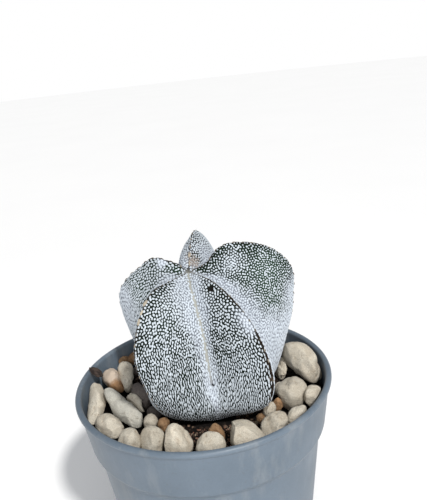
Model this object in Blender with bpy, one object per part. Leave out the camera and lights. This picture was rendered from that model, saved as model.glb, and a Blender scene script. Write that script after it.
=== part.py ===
"""A five-ribbed bishop's cap cactus in a round plastic nursery pot, dressed with pebbles.

Metres, +Z up. The origin is the middle of the pot's base on the surface it stands on,
and the side that faces -Y is the one usually seen from the front.
"""

import math
import random

import bmesh
import bpy
import numpy as np
from mathutils import Vector, noise
from mathutils.bvhtree import BVHTree

MM = 0.001

# Driving sizes.
POT_HEIGHT = 70.0 * MM
RIM_RADIUS = 42.5 * MM
BEAD_RADIUS = 1.0 * MM
WALL = 1.0 * MM
FLOOR = 1.5 * MM
BASE_RADIUS = 31.6 * MM
COLLAR_DROP = 16.2 * MM
SHOULDER_DROP = 19.0 * MM
SHOULDER_STEP = 1.5 * MM
COLLAR_SLOPE = math.radians(7.8)
FOOT_RING_WIDTH = 4.0 * MM
FOOT_RECESS = 1.0 * MM
POT_SIDES = 64
DRAIN_HOLES = 8
DRAIN_RADIUS = 2.6 * MM
DRAIN_CIRCLE = 20.0 * MM

# Gap between neighbours that touch.
GAP = 0.3 * MM

# The cactus stands a little to the right of the pot's middle.
PLANT_X = 1.5 * MM
CROWN_HEIGHT = 36.5 * MM
CROWN_SHIFT = -2.0 * MM
FOOT_RADIUS = 16.5 * MM
FOOT_DROP = 7.6 * MM
ROOT_RADIUS = 11.0 * MM
ROOT_DROP = 16.0 * MM
ROWS = 34

# Soil surface below the rim, lower towards -X.
SOIL_DROP = 8.8 * MM
SOIL_SLOPE = 0.035
SOIL_RIPPLE = 0.25 * MM
SOIL_SIDES = 48

# Each rib: its direction in degrees from +X, the direction of the furrow after it at the
# crown and at the foot, how full its two sides are, and its crest from the crown down to the
# foot, as distance from the plant's axis and height above the pot's rim, in millimetres.
RIBS = [
    {"turn": -130, "furrow": (-93, -84.5), "fullness": (0.10, 0.20),
     "crest": [(12, 37.2), (20, 37.2), (26.8, 32.4), (30.8, 25.3), (31.6, 18.5), (29.8, 12),
               (27, 4.6), (21.6, -4.0)]},
    {"turn": -55, "furrow": (-22, -22), "fullness": (0.20, 0.20),
     "crest": [(9.1, 36.3), (17.5, 32.8), (24.5, 26.7), (30, 18.5), (32.5, 9), (29.3, 0.4),
               (22.5, -5.0)]},
    {"turn": 11, "furrow": (46, 46), "fullness": (0.20, 0.20),
     "crest": [(6.0, 38.5), (8.6, 41.9), (12.4, 43.6), (19, 42.9), (26.7, 39.2), (32.6, 32),
               (32.8, 22), (30.2, 10.6), (23.5, -3.5)]},
    {"turn": 82, "furrow": (119, 119), "fullness": (0.36, 0.18),
     "crest": [(3.2, 38), (7, 41.6), (14, 44.8), (21, 43.8), (27, 39.4), (31.3, 30),
               (31.3, 19), (28.5, 8), (22.5, -4.0)]},
    {"turn": 157, "furrow": (193, 193), "fullness": (0.20, 0.20),
     "crest": [(1.4, 37.7), (3.6, 39.4), (7, 40.3), (11.3, 41.3), (15, 40.2), (18.8, 37.5),
               (23.2, 34.6), (27.9, 29), (28.2, 22.5), (25.4, 12), (20.6, -3.5)]},
]

# The depth of every furrow, in the same measures.
FURROW = [(4, 34.6), (8, 31.5), (11.5, 26), (14, 18), (16.5, 10), (19, 4), (20.8, -1.5)]

# Places across one side of a rib, 0 in the furrow and 1 on the crest.
ACROSS = [0.0, 0.12, 0.3, 0.5, 0.7, 0.85, 0.95]
CREST_ROUNDING = 0.65

# Pebbles that show from the front: plan position, half length, half width, half height
# in millimetres, turn in degrees, rise of the far end in degrees, and kind.
SEEN_PEBBLES = [
    (-35.8, -2.0, 13.0, 3.5, 3.2, -85, 4, "cream"),
    (-31.6, 12.4, 7.6, 3.6, 3.4, -60, 0, "rust"),
    (-28.0, 27.0, 4.2, 3.2, 2.8, -34, 0, "rust"),
    (-26.4, 13.2, 9.6, 3.4, 3.4, -80, 0, "cream"),
    (-23.5, -4.4, 7.2, 1.8, 2.7, -62, 0, "cream"),
    (-28.0, -6.2, 13.2, 3.5, 3.4, -60, 4, "grey"),
    (-30.0, -17.4, 6.4, 4.4, 4.1, -50, 0, "cream"),
    (-23.8, -27.4, 3.9, 4.2, 4.7, -22, 0, "cream"),
    (-17.9, -16.2, 2.7, 2.7, 3.0, -21, 0, "cream"),
    (-16.4, -27.6, 4.2, 4.6, 5.0, -21, 0, "cream"),
    (-13.6, -19.6, 2.2, 2.8, 2.8, -30, 0, "rust"),
    (-9.0, -30.4, 4.8, 4.8, 4.9, -26, 0, "cream"),
    (0.3, -34.0, 4.9, 3.8, 4.0, -6, 0, "cream"),
    (2.6, -25.6, 3.2, 2.5, 2.5, -25, 0, "rust"),
    (10.9, -31.6, 5.6, 4.6, 4.3, -7, 0, "cream"),
    (16.0, -22.6, 2.1, 1.8, 2.0, -13, 0, "rust"),
    (19.0, -19.4, 3.0, 2.5, 3.0, 14, 0, "cream"),
    (19.0, -28.4, 4.8, 4.2, 3.9, -2, 0, "cream"),
    (26.2, -25.4, 4.8, 2.6, 3.0, 39, 0, "cream"),
    (33.2, -17.0, 4.1, 3.0, 3.7, 50, 0, "cream"),
    (27.4, -14.4, 5.9, 5.0, 5.0, -22, 0, "cream"),
    (24.4, -6.6, 2.6, 2.4, 3.4, -14, 0, "cream"),
    (33.6, 1.6, 9.2, 5.4, 5.9, -60, 0, "cream"),
    (27.0, 5.6, 3.0, 5.8, 4.8, -12, 0, "cream"),
    (-24.0, 23.5, 2.6, 2.4, 2.4, 0, 0, "dark"),
    (-20.6, -1.0, 5.8, 3.0, 3.6, -66, 0, "dark"),
    (-16.8, -11.2, 2.4, 2.3, 2.4, -28, 0, "dark"),
    (22.3, -16.2, 1.9, 1.6, 2.6, 20, 0, "rust"),
]

# Pebbles behind the plant, set out in rings by a seeded rule.
HIDDEN_RINGS = [
    {"radius": 34.6, "first": 37, "last": 131, "count": 8},
    {"radius": 26.8, "first": 40, "last": 138, "count": 7},
]
HIDDEN_SEED = 12
PEBBLE_LUMPS = 0.13
STONE_EDGE = 2.5
EMBED = 0.3 * MM

# The splinter of bark: its low end on the pebbles and its high end over the rim.
BARK_TURN = 164
BARK_LOW = (35.0, -2.9)
BARK_HIGH = (41.4, 1.25)
BARK_HALF_WIDTH = 1.4 * MM
BARK_HALF_THICKNESS = 0.62 * MM

FINISHES = {
    "pot_plastic": ((0.20, 0.26, 0.33), 0.42),
    "soil": ((0.025, 0.018, 0.013), 0.95),
    "cactus_skin": ((0.47, 0.52, 0.52), 0.8),
    "cream": ((0.56, 0.50, 0.38), 0.85),
    "grey": ((0.46, 0.45, 0.39), 0.85),
    "rust": ((0.42, 0.24, 0.11), 0.85),
    "dark": ((0.085, 0.07, 0.065), 0.85),
    "bark": ((0.055, 0.03, 0.02), 0.9),
}


def clear_scene():
    for old in list(bpy.data.objects):
        bpy.data.objects.remove(old, do_unlink=True)


def finish_named(name):
    """The Principled material of one finish."""
    material = bpy.data.materials.get(name)
    if material is None:
        colour, roughness = FINISHES[name]
        material = bpy.data.materials.new(name)
        material.use_nodes = True
        shader = material.node_tree.nodes["Principled BSDF"]
        shader.inputs["Base Color"].default_value = (*colour, 1.0)
        shader.inputs["Roughness"].default_value = roughness
    return material


def add_part(name, bm, finish, sharp_angle=35):
    """Turns a finished bmesh into a named, smooth-shaded object."""
    bm.normal_update()
    bmesh.ops.recalc_face_normals(bm, faces=bm.faces)
    mesh = bpy.data.meshes.new(name)
    bm.to_mesh(mesh)
    bm.free()
    mesh.materials.append(finish_named(finish))
    mesh.shade_smooth()
    mesh.set_sharp_from_angle(angle=math.radians(sharp_angle))
    part = bpy.data.objects.new(name, mesh)
    bpy.context.collection.objects.link(part)
    return part


def at_turn(radius, height, turn, centre_x=0.0):
    """The point at a distance from an upright axis, in a direction given in degrees."""
    angle = math.radians(turn)
    return Vector((centre_x + radius * math.cos(angle), radius * math.sin(angle), height))


def turned(outline, sides):
    """A closed turned shape from its section, a list of radius and height."""
    bm = bmesh.new()
    points = [bm.verts.new((radius, 0.0, height)) for radius, height in outline]
    edges = [bm.edges.new(pair) for pair in zip(points, points[1:])]
    bmesh.ops.spin(bm, geom=points + edges, cent=(0, 0, 0), axis=(0, 0, 1),
                   angle=math.tau, steps=sides, use_merge=True)
    bmesh.ops.remove_doubles(bm, verts=bm.verts, dist=0.00001)
    return bm


def collar_radius(drop):
    """Outer radius of the pot's collar at a depth below the rim."""
    top = RIM_RADIUS - 0.85 * BEAD_RADIUS
    return top - (drop - 2 * BEAD_RADIUS) * math.tan(COLLAR_SLOPE)


def inner_radius(drop):
    """Inner radius of the pot's collar at a depth below the rim."""
    return min(RIM_RADIUS - 2 * BEAD_RADIUS, collar_radius(drop) - WALL)


def body_radius(height):
    """Outer radius of the pot's body, between its base and its shoulder."""
    top = POT_HEIGHT - SHOULDER_DROP
    top_radius = collar_radius(COLLAR_DROP) - SHOULDER_STEP - 0.4 * MM
    return BASE_RADIUS + (top_radius - BASE_RADIUS) * height / top


def make_pot():
    """The pot's wall turned in one piece, with drain holes cut through its floor."""
    shoulder = POT_HEIGHT - SHOULDER_DROP
    collar_foot = POT_HEIGHT - COLLAR_DROP
    foot_inner = BASE_RADIUS - FOOT_RING_WIDTH
    outline = [
        (0.0, FOOT_RECESS),
        (foot_inner - FOOT_RECESS, FOOT_RECESS),
        (foot_inner, 0.0),
        (BASE_RADIUS - 0.5 * MM, 0.0),
        (body_radius(0.5 * MM), 0.5 * MM),
        (body_radius(shoulder), shoulder),
        (collar_radius(COLLAR_DROP) - 0.5 * MM, collar_foot - 0.6 * MM),
        (collar_radius(COLLAR_DROP), collar_foot),
    ]
    bead_centre = RIM_RADIUS - BEAD_RADIUS
    for step in range(7):
        angle = math.radians(-50 + 230 * step / 6)
        outline.append((bead_centre + BEAD_RADIUS * math.cos(angle),
                        POT_HEIGHT - BEAD_RADIUS + BEAD_RADIUS * math.sin(angle)))
    floor_top = FOOT_RECESS + FLOOR
    outline += [
        (inner_radius(COLLAR_DROP), collar_foot - 0.4 * MM),
        (body_radius(shoulder) - WALL, shoulder - 0.8 * MM),
        (body_radius(floor_top) - WALL, floor_top),
        (0.0, floor_top),
    ]
    pot = add_part("pot", turned(outline, POT_SIDES), "pot_plastic")

    holes = bmesh.new()
    for number in range(DRAIN_HOLES):
        made = bmesh.ops.create_cone(holes, cap_ends=True, segments=16, radius1=DRAIN_RADIUS,
                                     radius2=DRAIN_RADIUS, depth=8 * MM)
        place = at_turn(DRAIN_CIRCLE, FOOT_RECESS, 360 * number / DRAIN_HOLES)
        bmesh.ops.translate(holes, verts=made["verts"], vec=place)
    cutter = add_part("drain_cutter", holes, "pot_plastic")
    cutter.hide_render = True
    cutter.display_type = "WIRE"
    cut = pot.modifiers.new("drain holes", "BOOLEAN")
    cut.operation = "DIFFERENCE"
    cut.object = cutter
    return pot


def soil_height(x, y):
    """Height of the soil's surface, dipping a little under the plant."""
    ripple = noise.noise(Vector((x, y, 0.0)) / (9 * MM)) * SOIL_RIPPLE
    from_axis = math.hypot(x - PLANT_X, y)
    under_plant = max(0.0, 1.0 - from_axis / (21 * MM))
    return POT_HEIGHT - SOIL_DROP + SOIL_SLOPE * x + ripple - 2.5 * MM * under_plant


def make_soil():
    """The potting soil, filling the pot, with a plain hole for the plant's root."""
    shoulder = POT_HEIGHT - SHOULDER_DROP - 0.8 * MM
    bottom = FOOT_RECESS + FLOOR + GAP
    hole_radius = ROOT_RADIUS + 0.6 * MM
    hole_floor = POT_HEIGHT - ROOT_DROP - 0.6 * MM
    side_gap = WALL + GAP + 0.1 * MM
    edge_radius = inner_radius(SOIL_DROP + 2 * MM) - GAP - 0.2 * MM
    outline = [
        (0.0, bottom),
        (body_radius(bottom) - side_gap, bottom),
        (body_radius(shoulder) - side_gap, shoulder - 0.4 * MM),
        (inner_radius(COLLAR_DROP) - GAP - 0.1 * MM, POT_HEIGHT - COLLAR_DROP - 0.4 * MM),
    ]
    rings = 7
    surface = POT_HEIGHT - SOIL_DROP
    for step in range(rings + 1):
        radius = edge_radius + (hole_radius + PLANT_X + 1 * MM - edge_radius) * step / rings
        outline.append((radius, surface))
    outline += [
        (hole_radius, surface - 2.2 * MM),
        (hole_radius, hole_floor),
        (0.0, hole_floor),
    ]
    bm = turned(outline, SOIL_SIDES)
    for vert in bm.verts:
        on_surface = abs(vert.co.z - surface) < 1e-6
        in_hole = math.hypot(vert.co.x, vert.co.y) < hole_radius + 0.1 * MM
        if on_surface:
            vert.co.z = soil_height(vert.co.x, vert.co.y)
        elif in_hole and vert.co.z > hole_floor - 0.1 * MM:
            vert.co.x += PLANT_X
    return add_part("soil", bm, "soil")


def smooth_curve(points, count):
    """Evenly spaced points on a smooth curve through the given ones."""
    padded = [2 * points[0] - points[1]] + points + [2 * points[-1] - points[-2]]
    fine = []
    for a, b, c, d in zip(padded, padded[1:], padded[2:], padded[3:]):
        for step in range(20):
            t = step / 20
            fine.append(0.5 * (2 * b + (c - a) * t + (2 * a - 5 * b + 4 * c - d) * t ** 2
                               + (3 * b - a - 3 * c + d) * t ** 3))
    fine.append(points[-1])
    travelled = [0.0]
    for a, b in zip(fine, fine[1:]):
        travelled.append(travelled[-1] + (b - a).length)
    evenly = []
    at = 0
    for step in range(count + 1):
        target = travelled[-1] * step / count
        while at < len(fine) - 2 and travelled[at + 1] < target:
            at += 1
        part = (target - travelled[at]) / (travelled[at + 1] - travelled[at])
        evenly.append(fine[at].lerp(fine[at + 1], part))
    return evenly


def ease(low, high, value):
    """Rises smoothly from 0 at low to 1 at high."""
    t = min(1.0, max(0.0, (value - low) / (high - low)))
    return t * t * (3 - 2 * t)


def measured_line(outline):
    """A crest or furrow as radius and height, from the crown to the foot ring."""
    points = [Vector((0.0, CROWN_HEIGHT))]
    points += [Vector((radius * MM, height * MM)) for radius, height in outline]
    points.append(Vector((FOOT_RADIUS, -FOOT_DROP)))
    return smooth_curve(points, ROWS)


def rib_side(crest, crest_turn, furrow, furrow_turn, fullness, row):
    """Points of one row from a furrow up one side of a rib, without the crest itself."""
    crest_point = at_turn(crest.x, crest.y, crest_turn)
    furrow_point = at_turn(furrow.x, furrow.y, furrow_turn)
    chord = crest_point - furrow_point
    outward = Vector((-chord.y, chord.x, 0.0)).normalized()
    if outward.dot(furrow_point - crest_point * (furrow.x / max(crest.x, 1e-6))) < 0:
        outward = -outward
    low_body = ease(0.70, 0.96, row / ROWS)
    side = []
    for u in ACROSS:
        arch = furrow_point + chord * u
        arch += outward * chord.length * fullness * u ** 1.2 * (1 - u) ** CREST_ROUNDING
        swell = ease(0, 1, u)
        ring = at_turn(furrow.x + (crest.x - furrow.x) * swell,
                       furrow.y + (crest.y - furrow.y) * swell,
                       furrow_turn + (crest_turn - furrow_turn) * u)
        side.append(arch.lerp(ring, low_body))
    return side


def make_cactus():
    """The ribbed body in one skin, closed by the root stub that stands in the soil."""
    crests = [measured_line(rib["crest"]) for rib in RIBS]
    furrow = measured_line(FURROW)
    rows = []
    for row in range(1, ROWS + 1):
        ring = []
        for number, rib in enumerate(RIBS):
            before = RIBS[number - 1]["furrow"]
            after = rib["furrow"]
            whole_turn = 360 if number == 0 else 0
            share = row / ROWS
            low_turn = before[0] + (before[1] - before[0]) * share - whole_turn
            high_turn = after[0] + (after[1] - after[0]) * share
            crest = crests[number][row]
            rising = rib_side(crest, rib["turn"], furrow[row], low_turn, rib["fullness"][0], row)
            falling = rib_side(crest, rib["turn"], furrow[row], high_turn, rib["fullness"][1], row)
            ring += rising
            ring.append(at_turn(crest.x, crest.y, rib["turn"]))
            ring += falling[:0:-1]
        shift = Vector((CROWN_SHIFT * (1 - ease(0, 0.45, row / ROWS)), 0, 0))
        rows.append([point + shift for point in ring])
    foot = rows[-1]
    for radius, drop in ((ROOT_RADIUS + 0.5 * MM, FOOT_DROP + 1.6 * MM), (ROOT_RADIUS, ROOT_DROP)):
        rows.append([Vector((point.x, point.y, 0)).normalized() * radius - Vector((0, 0, drop))
                     for point in foot])

    bm = bmesh.new()
    offset = Vector((PLANT_X, 0.0, POT_HEIGHT))
    loops = [[bm.verts.new(point + offset) for point in ring] for ring in rows]
    crown = bm.verts.new(Vector((CROWN_SHIFT, 0, CROWN_HEIGHT)) + offset)
    root = bm.verts.new(Vector((0, 0, -ROOT_DROP)) + offset)
    around = len(loops[0])
    for upper, lower in zip(loops, loops[1:]):
        for number in range(around):
            after = (number + 1) % around
            bm.faces.new((upper[number], lower[number], lower[after], upper[after]))
    for number in range(around):
        after = (number + 1) % around
        bm.faces.new((crown, loops[0][number], loops[0][after]))
        bm.faces.new((root, loops[-1][after], loops[-1][number]))
    bmesh.ops.triangulate(bm, faces=bm.faces, quad_method="SHORT_EDGE")
    return add_part("cactus_body", bm, "cactus_skin", 60)


def stone_points(half_sizes, turn, rise, seed, directions, lumps=PEBBLE_LUMPS):
    """Points of a lumpy stone about its own centre, one along each direction."""
    length, width, height = half_sizes
    angle = math.radians(turn)
    lean = math.radians(rise)
    along = Vector((math.cos(angle) * math.cos(lean), math.sin(angle) * math.cos(lean),
                    -math.sin(lean)))
    across = Vector((-math.sin(angle), math.cos(angle), 0))
    up = along.cross(across)
    points = []
    for way in directions:
        lump = noise.noise(way * 1.1 + Vector((seed * 3.7, seed * 1.9, 0)))
        lump += 0.5 * noise.noise(way * 2.3 + Vector((0, seed * 2.3, seed)))
        size = sum(abs(part) ** STONE_EDGE for part in way) ** (-1 / STONE_EDGE)
        size *= 1 + lumps * lump * 1.6
        points.append(along * (way.x * length * size) + across * (way.y * width * size)
                      + up * (way.z * height * size))
    return points


def make_stone_list():
    """Every pebble as its centre, surface points and kind, before the stones are parted."""
    ball = bmesh.new()
    bmesh.ops.create_icosphere(ball, subdivisions=2, radius=1.0)
    directions = [vert.co.normalized() for vert in ball.verts]
    faces = [[vert.index for vert in face.verts] for face in ball.faces]
    ball.free()
    specs = list(SEEN_PEBBLES)
    draw = random.Random(HIDDEN_SEED)
    for ring in HIDDEN_RINGS:
        for number in range(ring["count"]):
            part = number / (ring["count"] - 1)
            turn = ring["first"] + (ring["last"] - ring["first"]) * part + draw.uniform(-2, 2)
            place = at_turn(ring["radius"] + draw.uniform(-0.8, 0.8), 0, turn)
            kind = draw.choice(["cream", "cream", "cream", "cream", "grey", "rust"])
            specs.append((place.x, place.y, draw.uniform(4.0, 5.2), draw.uniform(3.3, 4.2),
                          draw.uniform(2.8, 3.8), draw.uniform(0, 180), 0, kind))
    stones = []
    for seed, (x, y, length, width, height, turn, rise, kind) in enumerate(specs):
        points = stone_points((length * MM, width * MM, height * MM), turn, rise, seed, directions)
        lowest = min(point.z for point in points)
        floor = max(soil_height(x * MM + point.x * 0.7, y * MM + point.y * 0.7) for point in points)
        centre = Vector((x * MM, y * MM, floor + GAP - lowest - EMBED))
        surface = np.array([centre + point for point in points])
        stones.append({"centre": np.array(centre), "points": surface, "kind": kind,
                       "floor": floor + GAP, "faces": faces})
    return stones


def hold_behind(stone, normal, limit):
    """Draws a stone's points towards its centre until none is past a plane."""
    reach = (stone["points"] - stone["centre"]) @ normal
    room = limit - stone["centre"] @ normal
    share = np.where(reach > room, room / np.maximum(reach, 1e-9), 1.0)
    stone["points"] = stone["centre"] + (stone["points"] - stone["centre"]) * share[:, None]


def hold_in_pot(stone):
    """Keeps a stone above the soil and inside the pot's wall."""
    hold_behind(stone, np.array([0.0, 0.0, -1.0]), -stone["floor"])
    offsets = stone["points"] - stone["centre"]
    low, high = np.zeros(len(offsets)), np.ones(len(offsets))
    for _ in range(20):
        middle = (low + high) / 2
        place = stone["centre"] + offsets * middle[:, None]
        wall = [inner_radius(POT_HEIGHT - z) - GAP for z in place[:, 2]]
        inside = np.hypot(place[:, 0], place[:, 1]) < wall
        low = np.where(inside, middle, low)
        high = np.where(inside, high, middle)
    full = stone["centre"] + offsets
    wall = [inner_radius(POT_HEIGHT - z) - GAP for z in full[:, 2]]
    share = np.where(np.hypot(full[:, 0], full[:, 1]) < wall, 1.0, low)
    stone["points"] = stone["centre"] + offsets * share[:, None]


def parting_ways():
    """Directions that are tried for the plane between two stones."""
    ways = []
    for tilt in (0, 25, 50, -25, -50):
        for step in range(24):
            way = at_turn(math.cos(math.radians(tilt)), math.sin(math.radians(tilt)), 15 * step)
            ways.append(way)
    return np.array(ways)


def part_stones(stones):
    """Parts each pair that overlaps by the plane that cuts least off them."""
    ways = parting_ways()
    for number, first in enumerate(stones):
        for second in stones[number + 1:]:
            ends = (first["points"] @ ways.T).max(axis=0)
            starts = (second["points"] @ ways.T).min(axis=0)
            overlap = ends - starts + GAP
            centres_apart = np.minimum((second["centre"] - first["centre"]) @ ways.T, 1)
            overlap[centres_apart <= 2 * MM] = 1.0
            best = int(overlap.argmin())
            if overlap[best] <= 0:
                continue
            middle = (ends[best] + starts[best]) / 2
            near = first["centre"] @ ways[best] + 1 * MM
            far = second["centre"] @ ways[best] - 1 * MM
            middle = min(max(middle, near), far)
            hold_behind(first, ways[best], middle - GAP / 2)
            hold_behind(second, -ways[best], -(middle + GAP / 2))


def hold_clear(stone, tree, room):
    """Draws a stone's points in until they and its faces stand clear of another part."""
    faces = np.array(stone["faces"])
    for _ in range(60):
        samples = list(stone["points"])
        owners = [[number] for number in range(len(samples))]
        for shares in ((1, 1, 1), (4, 1, 1), (1, 4, 1), (1, 1, 4)):
            weights = np.array(shares) / sum(shares)
            samples += list((stone["points"][faces] * weights[None, :, None]).sum(axis=1))
            owners += [list(face) for face in faces]
        pressed = set()
        for sample, owner in zip(samples, owners):
            nearest, normal, _, distance = tree.find_nearest(Vector(sample))
            buried = (Vector(sample) - nearest).dot(normal) < 0
            if distance < room or buried:
                pressed.update(owner)
        if not pressed:
            return
        for number in pressed:
            offset = stone["points"][number] - stone["centre"]
            stone["points"][number] = stone["centre"] + offset * 0.96


def tree_of(part):
    """A search tree of a part's faces."""
    bm = bmesh.new()
    bm.from_mesh(part.data)
    tree = BVHTree.FromBMesh(bm)
    bm.free()
    return tree


def make_pebbles(cactus):
    """One object for each pebble, in the order in which they were set out."""
    stones = make_stone_list()
    for stone in stones:
        hold_in_pot(stone)
    part_stones(stones)
    tree = tree_of(cactus)
    for number, stone in enumerate(stones, 1):
        hold_clear(stone, tree, GAP)
        bm = bmesh.new()
        verts = [bm.verts.new(point) for point in stone["points"]]
        for face in stone["faces"]:
            bm.faces.new([verts[index] for index in face])
        add_part(f"pebble_{stone['kind']}_{number:02d}", bm, stone["kind"], 50)


def make_bark(pot):
    """A splinter of bark that leans from the pebbles over the pot's rim."""
    low = at_turn(BARK_LOW[0] * MM, BARK_LOW[1] * MM, BARK_TURN)
    high = at_turn(BARK_HIGH[0] * MM, BARK_HIGH[1] * MM, BARK_TURN)
    run = high - low
    middle = (high + low) / 2 + Vector((0, 0, POT_HEIGHT))
    rise = math.degrees(math.asin(-run.z / run.length))
    ball = bmesh.new()
    bmesh.ops.create_icosphere(ball, subdivisions=2, radius=1.0)
    directions = [vert.co.normalized() for vert in ball.verts]
    half_sizes = (run.length / 2, BARK_HALF_WIDTH, BARK_HALF_THICKNESS)
    points = stone_points(half_sizes, BARK_TURN, rise, 77, directions, lumps=0.2)
    faces = [[vert.index for vert in face.verts] for face in ball.faces]
    chip = {"centre": np.array(middle), "faces": faces,
            "points": np.array([middle + point for point in points])}
    hold_clear(chip, tree_of(pot), GAP)
    for vert, point in zip(ball.verts, chip["points"]):
        vert.co = point
    add_part("bark_splinter", ball, "bark", 60)


def main():
    clear_scene()
    pot = make_pot()
    make_soil()
    cactus = make_cactus()
    make_pebbles(cactus)
    make_bark(pot)


main()
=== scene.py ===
# A five-ribbed bishop's cap cactus in a round plastic pot, dressed with pebbles: its looks.
import math
import random

import bmesh
import bpy
import numpy as np
from mathutils import Matrix, Vector, noise
from mathutils.bvhtree import BVHTree
from mathutils.kdtree import KDTree


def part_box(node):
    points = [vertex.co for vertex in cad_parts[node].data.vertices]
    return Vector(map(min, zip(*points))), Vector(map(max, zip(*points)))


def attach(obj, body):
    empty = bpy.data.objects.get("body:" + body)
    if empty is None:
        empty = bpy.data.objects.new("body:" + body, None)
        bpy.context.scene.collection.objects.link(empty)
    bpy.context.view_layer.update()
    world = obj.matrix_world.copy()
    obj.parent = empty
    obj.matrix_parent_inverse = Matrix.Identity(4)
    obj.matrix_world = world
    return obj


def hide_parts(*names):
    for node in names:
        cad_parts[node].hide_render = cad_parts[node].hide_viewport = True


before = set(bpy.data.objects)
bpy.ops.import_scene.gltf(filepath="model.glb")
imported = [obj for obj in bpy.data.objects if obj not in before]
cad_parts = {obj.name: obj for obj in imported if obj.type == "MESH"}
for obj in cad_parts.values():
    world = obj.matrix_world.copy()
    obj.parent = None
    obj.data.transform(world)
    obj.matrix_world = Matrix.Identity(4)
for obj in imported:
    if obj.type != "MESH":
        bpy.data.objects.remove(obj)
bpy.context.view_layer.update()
mm = 0.001
rimHeight = 0.070
rimPlane = np.array([0, 0, rimHeight / mm])    # in mm; the plant is measured from it
print("model loaded,", len(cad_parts), "nodes")


# small helpers for meshes

def keepOnly(piece):
    bpy.ops.object.select_all(action="DESELECT")
    piece.select_set(True)
    bpy.context.view_layer.objects.active = piece


def editAll(piece):
    keepOnly(piece)
    bpy.ops.object.mode_set(mode="EDIT")
    bpy.ops.mesh.select_all(action="SELECT")


def endEdit():
    bpy.ops.object.mode_set(mode="OBJECT")


def addObject(name, data):
    thing = bpy.data.objects.new(name, data)
    bpy.context.scene.collection.objects.link(thing)
    return thing


def addShape(add, name, **settings):
    # what the operator adds, alone in the selection
    bpy.ops.object.select_all(action="DESELECT")
    add(**settings)
    piece = bpy.context.active_object
    piece.name = name
    return piece


def copyOfNode(node, name):
    # the node itself is left alone, and its copy is merged before it is shaped
    piece = addObject(name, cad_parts[node].data.copy())
    piece.data.materials.clear()
    editAll(piece)
    bpy.ops.mesh.customdata_custom_splitnormals_clear()
    bpy.ops.mesh.remove_doubles(threshold=0.000002)
    endEdit()
    return piece


def pieceFrom(name, points, faces, smooth=True):
    mesh = bpy.data.meshes.new(name)
    mesh.from_pydata([tuple(p) for p in points], [], [tuple(f) for f in faces])
    if smooth:
        mesh.shade_smooth()
    return addObject(name, mesh)


def perPoint(piece, what):
    values = np.empty(len(piece.data.vertices) * 3)
    piece.data.vertices.foreach_get(what, values)
    return values.reshape(-1, 3)


def pointsOf(piece):
    return perPoint(piece, "co")


def normalsOf(piece):
    return perPoint(piece, "normal")


def facesOf(piece):
    return [tuple(face.vertices) for face in piece.data.polygons]


def movePoints(piece, points):
    piece.data.vertices.foreach_set("co", np.asarray(points, float).ravel())
    piece.data.update()


def smoothen(piece, levels):
    keepOnly(piece)
    smoother = piece.modifiers.new("finer", "SUBSURF")
    smoother.levels = levels
    smoother.render_levels = levels
    bpy.ops.object.modifier_apply(modifier=smoother.name)
    bpy.ops.object.shade_smooth()


def giveValues(piece, name, values):
    # a number on each point, which the materials read by name
    layer = piece.data.attributes.new(name, "FLOAT", "POINT")
    layer.data.foreach_set("value", np.asarray(values, np.float32))


def treeOf(piece):
    return BVHTree.FromPolygons([Vector(p) for p in pointsOf(piece)], facesOf(piece))


def takeShape(piece, roughness, size, seed):
    # the points and faces of a shape, roughened, and the piece itself is done with
    points = pointsOf(piece)
    points *= (1 + roughness * cloud(points, size, seed))[:, None]
    shape = points.copy(), facesOf(piece)
    bpy.data.objects.remove(piece, do_unlink=True)
    return shape


def settle(piece, slot, material, *nodes):
    piece.data.materials.clear()
    piece.data.materials.append(material)
    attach(piece, "root")
    if nodes:
        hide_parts(*nodes)


def rise(low, high, values):
    t = np.clip((np.asarray(values, float) - low) / (high - low), 0, 1)
    return t * t * (3 - 2 * t)


def cloud(points, size, seed=0):
    # soft noise at each point, with lumps about this size across
    shift = Vector((seed * 5.3, seed * 2.9, seed * 7.1))
    return np.array([noise.noise(Vector(p) / size + shift) for p in points])


# small helpers for materials

def placeNode(tree, kind, values=None, **settings):
    node = tree.nodes.new("ShaderNode" + kind)
    for name, value in settings.items():
        setattr(node, name, value)
    for name, value in (values or {}).items():
        node.inputs[name].default_value = value
    return node


def wire(tree, source, sink):
    if hasattr(source, "is_output"):
        tree.links.new(source, sink)
    else:
        sink.default_value = source


def colour(*parts):
    return (*parts, 1.0)


def blendColours(tree, share, first, second, way="MIX"):
    node = placeNode(tree, "Mix", data_type="RGBA", blend_type=way)
    wire(tree, share, node.inputs[0])
    wire(tree, first, node.inputs[6])
    wire(tree, second, node.inputs[7])
    return node.outputs[2]


def rampOf(tree, source, stops):
    node = placeNode(tree, "ValToRGB")
    ramp = node.color_ramp
    while len(ramp.elements) < len(stops):
        ramp.elements.new(0.5)
    for element, (position, value) in zip(ramp.elements, stops):
        element.position = position
        element.color = value if isinstance(value, tuple) else colour(value, value, value)
    wire(tree, source, node.inputs[0])
    return node.outputs[0]


def sums(tree, way, first, second):
    node = placeNode(tree, "Math", operation=way)
    wire(tree, first, node.inputs[0])
    wire(tree, second, node.inputs[1])
    return node.outputs[0]


def valueNamed(tree, name):
    return placeNode(tree, "Attribute", attribute_name=name).outputs["Fac"]


def newMaterial(name, roughness, specular=0.5):
    material = bpy.data.materials.new(name)
    material.use_nodes = True
    tree = material.node_tree
    shader = tree.nodes["Principled BSDF"]
    shader.inputs["Roughness"].default_value = roughness
    shader.inputs["Specular IOR Level"].default_value = specular
    return material, tree, shader, placeNode(tree, "TexCoord").outputs["Object"]


def noiseAt(tree, place, values):
    node = placeNode(tree, "TexNoise", values)
    tree.links.new(place, node.inputs["Vector"])
    return node.outputs[0]


def shadeBy(tree, share, base, source, *stops):
    # darkens and lightens the base by what the source says
    return blendColours(tree, share, base, rampOf(tree, source, stops), "MULTIPLY")


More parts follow.
